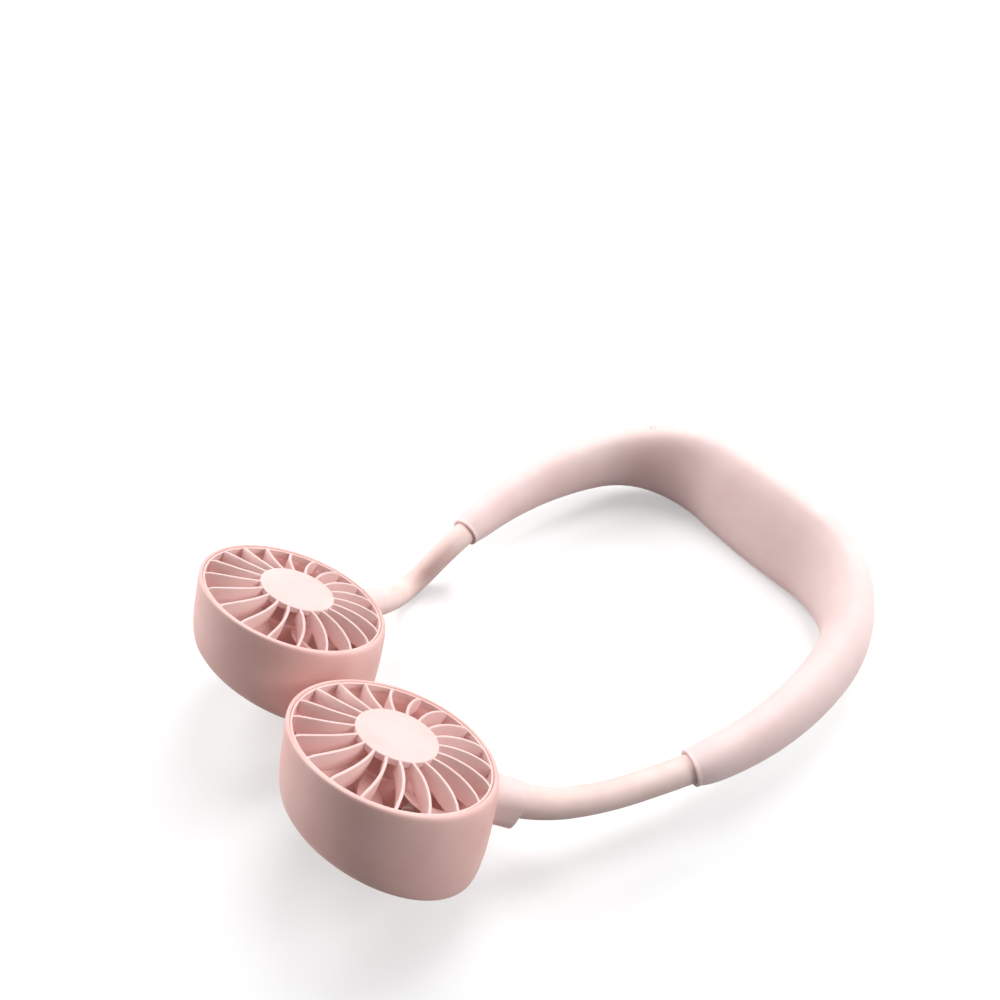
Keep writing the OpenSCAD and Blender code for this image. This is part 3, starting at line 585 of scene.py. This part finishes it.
def sleeve_radius(way):
    """Radius at a share of the way to the head. The sleeve swells where it meets the collar."""
    return sleeve_r + root_swell * (1 - way) ** 2 + collar_swell * way ** swell_power


for side in (1, -1):
    for k, part in enumerate(("base", "middle", "tip")):
        shares = np.linspace(0, 1, sleeve_rings)
        steps = neck_steps(side, k, shares)
        radii = [sleeve_radius((k + share) / 3) for share in shares]
        if k == 0:
            first, axes = steps[0]
            steps.insert(0, (first - (ferrule_len - lip_len + tuck) * axes[:, 2], axes))
            radii.insert(0, radii[0])
        rings = [p + r * circle @ f[:, :2].T for (p, f), r in zip(steps, radii)]
        rings += [p + bore * circle @ f[:, :2].T for p, f in steps[::-1]]
        name = f"{side_name[side]}_sleeve_{part}"
        sleeve = as_object(name + "_skin", *skin(rings, closed=True), silicone, sharp=60)
        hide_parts(name)
        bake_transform(sleeve)

# %% [markdown]
# ## End rings and collars
# A neck leaves the band through a ring with a small step, and the sleeve sits
# in a shallow groove in it, which is the dark line seen there. At the drum a
# collar with a lower lobe flares towards the wall and laps over the sleeve.
# The ring is spun. The collar's outline changes along its length, so it is
# skinned.

# %% Outline of the end rings
lip_r, groove_r, groove_z, plug_len = end_d / 2 - end_taper, 5.55, 0.8, 8.0
plug_r = lip_r - wall - 0.2
end_ring = turned(rounded([
    (bore, -plug_len), (plug_r, -plug_len), (plug_r, 0.02), (lip_r, 0.02), (lip_r, lip_len),
    (groove_r, lip_len), (groove_r, groove_z), (bore, groove_z)],
    [0.2, 0.5, 0, 0, 0.4, 0.15, 0.1, 0]), 96)
print("end ring", round(2 * lip_r, 1), "mm across, groove", round(lip_len - groove_z, 1), "mm deep")

# %% Outlines along the collars
collar_d, collar_step, collar_lap = 12.8, 3.4, 1.8
collar_start, reach = belly_d / 2 - 0.6, belly_d / 2 + collar_len
lip = reach + collar_lap
lobe_end, lobe_grow, flare = lip - 1.2, 0.2, 1.3
lip_d, socket_d = collar_d - 0.2, 2 * sleeve_radius(1.0) + 0.1


def collar_ring(x, across, lobe):
    """Outline of the collar at x from the drum's middle. Its lower half hangs lower by lobe."""
    pts = across / 2 * np.column_stack([np.sin(round_angles), np.cos(round_angles)])
    pts[:, 1] -= np.where(np.cos(round_angles) < -1e-9, lobe, 0)
    return np.column_stack([np.full(len(pts), x), pts[:, 0], pts[:, 1] - collar_drop])


collar_rings = [collar_ring(collar_start + (lobe_end - collar_start) * u,
                            collar_d + flare * (1 - u) ** 2 - 0.2 * u,
                            collar_step * (1 + lobe_grow * u))
                for u in np.linspace(0, 1, 10)]
collar_rings += [collar_ring(lobe_end + math.sin(t), lip_d,
                             (1 + lobe_grow) * collar_step * math.cos(t) ** 0.6)
                 for t in np.linspace(0.12, 1.45, 12)]
collar_rings += [collar_ring(x, across, 0.0) for x, across in (
    (lip - 0.12, lip_d), (lip, lip_d - 0.15), (lip, socket_d), (reach, socket_d),
    (reach, 2 * bore), (collar_start, 2 * bore))]
collar_form = skin(collar_rings, closed=True)
print("a collar has", len(collar_rings), "outlines over", round(lip - collar_start, 1), "mm")

# %% Make the end rings and the collars
for side in (1, -1):
    name = side_name[side]
    ring = as_object(f"{name}_end_ring", *placed(end_ring, end_frames[side]), soft_abs)
    show(ring, "neckband", "shell", f"{name}_ferrule")
    collar = as_object(f"{name}_flared_collar", *placed(collar_form, head_frames[side]),
                       soft_abs, sharp=50)
    show(collar, f"{name}_head", "shell", f"{name}_collar")

# %% [markdown]
# ## The drum
# The drum is a short barrel whose back slants and is set over towards the
# neck, with a round duct inside. Its section is not the same all round, so it
# cannot be spun; rings whose centres drift are skinned instead. The duct is
# drawn with a slight draft, wider at its mouth, so only a narrow ledge is left.

# %% Sizes of the drum in millimetres
drum_depth, heel_drop, side_drop, heel_shift, side_shift = 33.1, 5.6, 2.5, 6.5, 2.0
seat_d, seat_depth, duct_depth = 0.962 * belly_d - 2.4, 3.0, 15.6
duct_d, mouth_d = seat_d - 6.0, seat_d - 1.9
rear_d, rear_grille_t = 41.0, 2.4
back_depth = drum_depth - math.hypot(heel_drop, side_drop) * rear_d / belly_d - fit_gap
print("drum", belly_d, "mm across, duct", round(duct_d, 1), "mm")

# %% The drum's profile and its rings
depth_shares = np.array([0, 0.03, 0.12, 0.33, 0.58, 0.78, 0.9, 0.97, 1])
radius_shares = np.array([0.962, 0.974, 0.985, 0.995, 1, 0.989, 0.966, 0.88, 0.785])
shift_shares = np.array([0, 0.06, 0.183, 0.412, 0.647, 0.82, 0.919, 0.976, 1])
drum_angles = np.linspace(0, 2 * np.pi, 192, endpoint=False)


def smooth_through(x, y, at):
    """A smooth curve through points, without overshoot, read at new places."""
    slopes = np.diff(y) / np.diff(x)
    mean = 2 * slopes[1:] * slopes[:-1] / (slopes[1:] + slopes[:-1] + 1e-12)
    mid = np.where(slopes[1:] * slopes[:-1] > 0, mean, 0)
    tangent = np.concatenate([[slopes[0]], mid, [slopes[-1]]])
    k = np.clip(np.searchsorted(x, at, side="right") - 1, 0, len(x) - 2)
    h = x[k + 1] - x[k]
    t = (at - x[k]) / h
    return ((1 + 2 * t) * (1 - t) ** 2 * y[k] + t * (1 - t) ** 2 * h * tangent[k]
            + t * t * (3 - 2 * t) * y[k + 1] + t * t * (t - 1) * h * tangent[k + 1])


def skin_ring(side, r, shift, share, lift=0.0):
    """A ring of the slanted outer skin at a share of the depth, lifted towards the rim."""
    x = heel_shift * shift + r * np.cos(drum_angles)
    y = side * side_shift * shift + r * np.sin(drum_angles)
    slant = (heel_drop * x + side * side_drop * y) / (belly_d / 2)
    return np.column_stack([x, y, lift - share * (drum_depth + slant)])


def duct_ring(r, z):
    """A ring of the inside, square to the fan's axis."""
    x, y = r * np.cos(drum_angles), r * np.sin(drum_angles)
    return np.column_stack([x, y, np.full(len(drum_angles), z)])


mid_share = float(smooth_through(depth_shares, radius_shares, 0.5))
print("radius at mid depth", round(belly_d / 2 * mid_share, 2), "mm")

# %% Skin the drums
def drum_rings(side):
    """Rings from the rim's inner edge, over the outside and back through the duct."""
    shares = np.concatenate([
        np.linspace(0.01, 0.12, 7), np.linspace(0.15, 0.9, 26), np.linspace(0.92, 1, 9)])
    radii = belly_d / 2 * smooth_through(depth_shares, radius_shares, shares)
    shifts = smooth_through(depth_shares, shift_shares, shares)
    rim, seat, duct, mouth = belly_d / 2 * radius_shares[0], seat_d / 2, duct_d / 2, mouth_d / 2
    rear = rear_d / 2
    throat, floor_z = rear - 1.4 * wall, rear_grille_t - back_depth
    rings = [duct_ring(r, z) for r, z in (
        (seat, -0.35), (seat + 0.1, -0.1), (seat + 0.32, 0.0), (rim - 0.35, 0.0), (rim - 0.1, -0.1))]
    rings += [skin_ring(side, r, h, u) for r, h, u in zip(radii, shifts, shares)]
    rings += [skin_ring(side, r, h, 1, up) for r, h, up in (
        (0.5 * (radii[-1] + rear) + 0.5, 0.6, 0.0), (rear + 0.5, 0, 0.0),
        (rear + 0.12, 0, 0.12), (rear, 0, 0.5))]
    rings += [duct_ring(rear, floor_z), duct_ring(throat, floor_z)]
    rings += [duct_ring(throat + (duct - throat) * t, floor_z - (floor_z + duct_depth) * t)
              for t in (0.25, 0.5, 0.75, 0.95)]
    rings += [duct_ring(duct + (mouth - duct) * t, (duct_depth - seat_depth - 0.3) * t - duct_depth)
              for t in (0.05, 0.35, 0.7, 1)]
    rings += [duct_ring(mouth + 0.2, -seat_depth), duct_ring(seat, -seat_depth)]
    return rings


# The drums take the heads' plastic, whose deeper pink is partly painted shade.
for side in (1, -1):
    name = side_name[side]
    barrel = skin(drum_rings(side), closed=True)
    drum = as_object(f"{name}_drum", *placed(barrel, head_frames[side]), head_abs_partly_painted_shade, sharp=42)
    show(drum, f"{name}_head", "shell", f"{name}_housing")

# %% [markdown]
# ## Repeating a blade round an axis
# Vanes, blades and ribs are each one shape repeated evenly round the middle.
# Copying objects by hand would work, but a Geometry Nodes tree with a count
# shows the rule: points on a line, one instance on each, turned by its index.

# %% Geometry Nodes tree that repeats a shape round Z
def repeat_tree():
    """A tree that puts copies of a blade round Z and joins them to the given mesh."""
    tree = bpy.data.node_groups.new("repeat_round_the_axis", "GeometryNodeTree")
    for name, kind, where in (
            ("Geometry", "NodeSocketGeometry", "INPUT"), ("Blade", "NodeSocketObject", "INPUT"),
            ("Count", "NodeSocketInt", "INPUT"), ("Finish", "NodeSocketMaterial", "INPUT"),
            ("Geometry", "NodeSocketGeometry", "OUTPUT")):
        tree.interface.new_socket(name, in_out=where, socket_type=kind)
    given = add(tree, "NodeGroupInput").outputs
    index = add(tree, "GeometryNodeInputIndex").outputs[0]
    line = add(tree, "GeometryNodeMeshLine", {"Count": given["Count"], "Offset": (0, 0, 0)})
    blade = add(tree, "GeometryNodeObjectInfo", {"Object": given["Blade"]}, transform_space="ORIGINAL")
    step = add(tree, "ShaderNodeMath", {0: 2 * math.pi, 1: given["Count"]}, operation="DIVIDE")
    angle = add(tree, "ShaderNodeMath", {0: index, 1: step.outputs[0]}, operation="MULTIPLY")
    turn = add(tree, "ShaderNodeCombineXYZ", {"Z": angle.outputs[0]})
    copies = add(tree, "GeometryNodeInstanceOnPoints", {
        "Points": line.outputs["Mesh"], "Instance": blade.outputs["Geometry"],
        "Rotation": turn.outputs["Vector"]})
    both = add(tree, "GeometryNodeJoinGeometry")
    tree.links.new(given["Geometry"], both.inputs[0])
    tree.links.new(copies.outputs["Instances"], both.inputs[0])
    real = add(tree, "GeometryNodeRealizeInstances", {"Geometry": both.outputs[0]})
    done = add(tree, "GeometryNodeSetMaterial", {
        "Geometry": real.outputs[0], "Material": given["Finish"]})
    add(tree, "NodeGroupOutput", {"Geometry": done.outputs[0]})
    return tree


round_tree = repeat_tree()
socket_ids = {s.name: s.identifier for s in round_tree.interface.items_tree if s.in_out == "INPUT"}
print("inputs of the tree:", sorted(socket_ids))

# %% Helper that repeats a blade and keeps a plain mesh
def repeated(name, rest, blade, count, finish, matrix, sharp=crease):
    """The rest of a piece with a blade repeated round its axis, as a plain mesh in place."""
    holder = as_object(name, *rest, finish, sharp)
    one = as_object(name + "_one", *blade, finish, sharp)
    step = holder.modifiers.new("repeat", "NODES")
    step.node_group = round_tree
    for key, value in (("Blade", one), ("Count", count), ("Finish", finish)):
        step[socket_ids[key]] = value
    holder.update_tag()
    graph = bpy.context.evaluated_depsgraph_get()
    mesh = bpy.data.meshes.new_from_object(holder.evaluated_get(graph))
    holder.modifiers.clear()
    holder.data = mesh
    place = matrix.copy()
    place[:3, 3] /= 1000
    mesh.transform(Matrix(place.tolist()))
    bpy.data.objects.remove(one)
    return holder


print("each repeat runs", len(round_tree.nodes), "nodes and leaves a plain mesh")

# %% [markdown]
# ## Front grille
# Twenty thin, deep vanes sweep from the raised hub disc to the rim. Each is a
# shallow arc whose top edge follows a low dome. One vane is skinned along its
# arc with a rounded top edge, and the tree above repeats it. The ring that
# holds them is thin and sits almost level with the rim of the drum.

# %% Helper that makes a curved vane
vane_bend_r, vane_lead = 32.0, math.radians(2)


def vane_line(inner, outer, shares):
    """Points and sideways directions along the arc of a vane between two radii."""
    a = inner * np.array([math.cos(vane_lead), math.sin(vane_lead)])
    b = np.array([outer, 0.0])
    half = np.linalg.norm(b - a) / 2
    normal = np.array([-(b - a)[1], (b - a)[0]]) / (2 * half)
    centre = (a + b) / 2 - normal * math.sqrt(vane_bend_r ** 2 - half ** 2)
    spread, middle = math.asin(half / vane_bend_r), math.atan2(normal[1], normal[0])
    t = middle + spread - 2 * spread * shares
    side = np.column_stack([np.cos(t), np.sin(t)])
    return centre + vane_bend_r * side, side


def grille_vane(inner, outer, top, low, thick, taper=0.8):
    """One vane. top and low give its edges as heights over the radius."""
    line, side = vane_line(inner, outer, np.linspace(0, 1, 30))
    half = thick / 2
    rings = []
    for p, n in zip(line, side):
        r = float(np.hypot(*p))
        high, foot = top(r), low(r)
        edge = [(-half * taper, foot), (-half, high - 0.5), (-0.8 * half, high - 0.16),
                (-0.4 * half, high - 0.03), (0, high), (0.4 * half, high - 0.03),
                (0.8 * half, high - 0.16), (half, high - 0.5), (half * taper, foot)]
        rings.append([(p[0] + n[0] * w, p[1] + n[1] * w, z) for w, z in edge])
    return skin(rings)


print("a vane bends over a radius of", vane_bend_r, "mm")

# %% Make the front grille
vane_count, vane_t, vane_depth = 20, 1.1, 4.6
hub_r, dome, ring_top = 14.2, 3.0, -0.35
ring_r, ring_in, ring_low = seat_d / 2 - fit_gap, mouth_d / 2, 0.02 - seat_depth
vane_end, half_way, beyond = ring_r - 0.2, (hub_r + ring_r) / 2, 40
top_r = np.array([0, hub_r + 1.2, half_way, ring_r - 2.4, vane_end, beyond])
top_z = np.array([dome - 0.15, dome - 0.2, 0.72 * dome, 0.24 * dome, -0.3, -0.3])
foot_r = np.array([0, hub_r, half_way, ring_in - 0.5, ring_in - 0.2, beyond])
foot_z = np.array([dome - vane_depth, dome - vane_depth - 0.6, -4.8, -4.8,
                   0.2 - seat_depth, 0.2 - seat_depth])
vane = grille_vane(hub_r - 1.0, vane_end,
                   lambda r: float(smooth_through(top_r, top_z, r)),
                   lambda r: float(np.interp(r, foot_r, foot_z)), vane_t)
disc_low = dome - vane_depth / 2
hub_disc = turned(rounded(
    [(0, disc_low), (hub_r, disc_low), (hub_r, dome), (0, dome)], [0, 0.3, 0.55, 0], steps=6))
rim_ring = turned(rounded(
    [(ring_in, ring_low), (ring_r, ring_low), (ring_r, ring_top), (ring_in, ring_top)],
    [0, 0, 0.2, 0.3]), 192)
for side in (1, -1):
    name = side_name[side]
    grille = repeated(f"{name}_vane_grille", join(hub_disc, rim_ring), vane, vane_count,
                      grille_abs, head_frames[side])
    show(grille, f"{name}_head", "grille", f"{name}_front_grille")

# %% [markdown]
# ## Impeller
# Seven broad blades on a hollow hub. A blade is a twisted sheet that flattens
# towards its tip. Its grid of points comes from that rule, with a thin rounded
# section, and the same tree repeats it round the hub.

# %% Helper that makes a fan blade
fan_hub_d, fan_hub_h, hub_drop, hub_wall = 24.0, 11.0, 6.0, 1.3
blade_t, blade_sweep, blade_half_turn, tip_narrowing = 1.2, 24, 21, 0.12
root_rise, tip_rise, camber, tip_thinning = 0.8, 0.5, 0.12, 0.25
tip_gap = 1.0
blade_root_r, blade_tip_r = (fan_hub_d - hub_wall) / 2, duct_d / 2 - tip_gap


def blade_sheet(rows=20, cols=22):
    """A closed blade: an upper and a lower sheet that meet at its rounded edges."""
    v = np.linspace(-1, 1, cols)
    grids = []
    for up in (1, -1):
        grid = np.zeros((rows, cols, 3))
        for i, u in enumerate(np.linspace(0, 1, rows)):
            r = blade_root_r + (blade_tip_r - blade_root_r) * u
            a = np.radians(blade_sweep * u * u + blade_half_turn * v * (1 - tip_narrowing * u))
            rise = fan_hub_h * (root_rise + (tip_rise - root_rise) * u) / 2
            z = -hub_drop - fan_hub_h / 2 - rise * v + camber * fan_hub_h * (1 - v * v)
            thick = blade_t / 2 * np.sqrt(np.clip(1 - v ** 4, 0, 1)) * (1 - tip_thinning * u)
            grid[i] = np.column_stack([r * np.cos(a), r * np.sin(a), z + up * thick])
        grids.append(grid)
    return skin([np.vstack([grids[0][i], grids[1][i][-2:0:-1]]) for i in range(rows)])


print("a blade reaches from", round(blade_root_r, 1), "to", round(blade_tip_r, 1), "mm")

# %% Make the hub and the fan
blade_count, shaft_r, boss_r, boss_h = 7, 1.02, 2.6, fan_hub_h / 3 - move_gap
hub_low, hub_top, hub_out = -hub_drop - fan_hub_h, -hub_drop, fan_hub_d / 2
roof, hub_in, dimple = hub_top - hub_wall, hub_out - hub_wall, hub_top - 0.43
fan_hub = turned(rounded([
    (0, hub_top), (0, dimple), (shaft_r, dimple), (shaft_r, hub_top - boss_h),
    (boss_r, hub_top - boss_h), (boss_r, roof), (hub_in, roof), (hub_in, hub_low),
    (hub_out, hub_low), (hub_out, hub_top)],
    [0, 0, 0, 0, 0.2, 0.3, 0.4, 0, 0.2, 0.9]), 96)
for side in (1, -1):
    name = side_name[side]
    fan = repeated(f"{name}_fan_blades", fan_hub, blade_sheet(), blade_count,
                   blade_pbt, head_frames[side], sharp=50)
    show(fan, f"{name}_rotor", "blade", f"{name}_impeller")

# %% [markdown]
# ## Rear grille
# The back of each drum is closed by a plate in a ring of curved ribs, which
# also carries the motor. It repeats like the front grille, with flat ribs.

# %% Make the rear grille
rib_count, rib_t, stator_d = 14, 1.3, 17.6
plate_r, tube_r, bush_r, post_r, post_ring_r = stator_d / 1.6, 3.3, 2.425, 1.92, stator_d / 2.3
rear_r, rear_ring, rear_low = rear_d / 2 - fit_gap, 1.2 * wall, -back_depth
rear_top, rib_low, pocket = rear_low + rear_grille_t - fit_gap, rear_low + 0.15, rear_low + 0.9
bearing_z = -hub_drop - fan_hub_h / 3
stator_z = bearing_z - 0.72 * fan_hub_h
rib = grille_vane(plate_r - wall, rear_r - rear_ring / 2,
                  lambda r: rear_top, lambda r: rib_low, rib_t, taper=0.85)
rear_in = rear_r - rear_ring
rear_rim = turned(rounded(
    [(rear_in, rear_low), (rear_r, rear_low), (rear_r, rear_top), (rear_in, rear_top)], 0.35), 128)
mount = turned(rounded([
    (0, rear_low), (plate_r, rear_low), (plate_r, rear_top), (tube_r + 0.9, rear_top),
    (tube_r + 0.9, stator_z), (tube_r, stator_z), (tube_r, bearing_z), (bush_r, bearing_z),
    (bush_r, pocket), (0, pocket)], [0, 0.5, 0.4, 0.4, 0.2, 0.1, 0.3, 0.2, 0, 0]), 96)
post_top = stator_z - fan_hub_h / 2
post = turned([(0, pocket), (post_r, pocket), (post_r, post_top), (0, post_top)], 32)
posts = [placed(post, shifted(post_ring_r * math.cos(a), post_ring_r * math.sin(a), 0))
         for a in (0, 2 * math.pi / 3, 4 * math.pi / 3)]
for side in (1, -1):
    name = side_name[side]
    back = repeated(f"{name}_rib_grille", join(mount, rear_rim, *posts), rib, rib_count,
                    grille_abs, head_frames[side])
    show(back, f"{name}_head", "grille", f"{name}_rear_grille")

# %% [markdown]
# ## Solids that keep their own shape
# The battery, the board, the motor and the cores are plain machined or cut
# shapes, and the solids already have them. They keep their meshes and only
# get the finish of the real thing.

# %% Finish the solids that stay
kept = {"battery": pouch_foil, "battery_pad": cell_foam, "circuit_board": solder_mask,
        "usb_socket": tinned_steel, "tact_switch": black_nylon}
for side in ("left", "right"):
    for part, finish in (("lead", red_pvc), ("motor_board", solder_mask), ("bush", oil_bronze),
                         ("stator", coil_copper), ("magnet", ferrite), ("shaft", ground_steel),
                         ("motor_screws", ground_steel), ("core_base", soft_aluminium),
                         ("core_lower", soft_aluminium), ("core_upper", soft_aluminium),
                         ("core_tip", soft_aluminium)):
        kept[f"{side}_{part}"] = finish
for name, finish in kept.items():
    if len(nodes[name].material_slots) == 0:
        nodes[name].data.materials.append(finish)
    for held in nodes[name].material_slots:
        held.material = finish
print(len(kept), "solids keep their shape")

# %% [markdown]
# ## Table, backdrop and light
# Product pictures of this kind are taken on a white sweep under large soft
# lamps. Here they stand round the sides and back, and none beside the camera,
# so the tops are bright and the sides that face the viewer fall into shade.
# The floor takes a faint shadow near the fan and turns plain white further
# out, so no horizon shows. To the light it is only a plain matt floor.

# %% Sizes of the white stage, and which rays see it
floor_half, floor_drop = 3.0, 0.0002
glow_from, glow_to, glow_near, paper_glow, room_light = 0.3, 0.8, 0.2, 1.9, 0.16


def seen_directly(tree):
    """1 on rays from the camera, in reflections and through clear pieces, and 0 on others."""
    path = add(tree, "ShaderNodeLightPath").outputs
    seen = path["Is Camera Ray"]
    for kind in ("Is Glossy Ray", "Is Transmission Ray"):
        seen = add(tree, "ShaderNodeMath", {0: seen, 1: path[kind]}, operation="MAXIMUM").outputs[0]
    return seen


print("the floor turns plain white from", glow_from, "to", glow_to, "m out")

# %% White floor
sweep = bpy.data.materials.new("white_paper_sweep")
sweep.use_nodes = True
tree = sweep.node_tree
tree.nodes.clear()
place = add(tree, "ShaderNodeTexCoord").outputs["Object"]
distance = add(tree, "ShaderNodeVectorMath", {0: place}, operation="LENGTH").outputs["Value"]
glow = add(tree, "ShaderNodeMapRange", {
    "Value": distance, "From Min": glow_from, "From Max": glow_to, "To Min": glow_near,
    "To Max": 1.0}).outputs["Result"]
paper = add(tree, "ShaderNodeBsdfDiffuse", {"Color": colour("#F4F4F4")}).outputs[0]
white = add(tree, "ShaderNodeEmission", {"Color": colour("#FFFFFF"), "Strength": paper_glow}).outputs[0]
bright = add(tree, "ShaderNodeMixShader", {0: glow, 1: paper, 2: white}).outputs[0]
plain = add(tree, "ShaderNodeBsdfDiffuse", {"Color": colour("#8C8A89")}).outputs[0]
both = add(tree, "ShaderNodeMixShader", {0: seen_directly(tree), 1: plain, 2: bright}).outputs[0]
add(tree, "ShaderNodeOutputMaterial", {"Surface": both})

floor_mesh = bpy.data.meshes.new("white_floor")
corners = [(x * floor_half, y * floor_half, 0) for x, y in ((-1, -1), (1, -1), (1, 1), (-1, 1))]
floor_mesh.from_pydata(corners, [], [(0, 1, 2, 3)])
floor_mesh.materials.append(sweep)
floor = bpy.data.objects.new("white_floor", floor_mesh)
floor.location.z = -floor_drop
bpy.context.scene.collection.objects.link(floor)
floor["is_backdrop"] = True
print("floor", 2 * floor_half, "m wide")

# %% White room
world = bpy.data.worlds.new("white_room")
bpy.context.scene.world = world
world.use_nodes = True
tree = world.node_tree
tree.nodes.clear()
strength = add(tree, "ShaderNodeMapRange", {
    "Value": seen_directly(tree), "To Min": room_light, "To Max": 1.0})
room = add(tree, "ShaderNodeBackground", {"Color": colour("#FFFFFF"), "Strength": strength.outputs[0]})
add(tree, "ShaderNodeOutputWorld", {"Surface": room.outputs[0]})
print("the room lights the fan with strength", room_light)

# %% Soft lamps
lamp_size, lamp_away, lamp_aim = 0.45, 1.0, Vector((0.0, -0.09, 0.02))


def soft_lamp(name, round_deg, up_deg, power):
    """A broad round lamp that looks at the fan from a bearing and a height in degrees."""
    round_rad, up_rad = math.radians(round_deg), math.radians(up_deg)
    level = math.cos(up_rad)
    bearing = Vector((math.cos(round_rad) * level, math.sin(round_rad) * level, math.sin(up_rad)))
    lamp = bpy.data.objects.new(name, bpy.data.lights.new(name, "AREA"))
    lamp.data.shape, lamp.data.size, lamp.data.energy = "DISK", lamp_size, power
    lamp.location = lamp_aim + lamp_away * bearing
    lamp.rotation_euler = (-bearing).to_track_quat("-Z", "Y").to_euler()
    bpy.context.scene.collection.objects.link(lamp)


soft_lamp("lamp_above", 115, 66, 3.5)
soft_lamp("lamp_left", 180, 42, 3.8)
soft_lamp("lamp_low_left", 224, 20, 4.6)
soft_lamp("lamp_right", 44, 24, 4.6)
soft_lamp("lamp_behind", 90, 35, 3.0)
bpy.context.scene.view_settings.view_transform = "Standard"
print("lamps ready:", len(bpy.data.lights))

# %% Compare the boxes and finish
low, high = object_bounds()
grown = [round(1000 * ((b - a) - (d - c)), 2) for a, b, c, d in zip(low, high, cad_low, cad_high)]
print("size against the solids in mm:", grown)
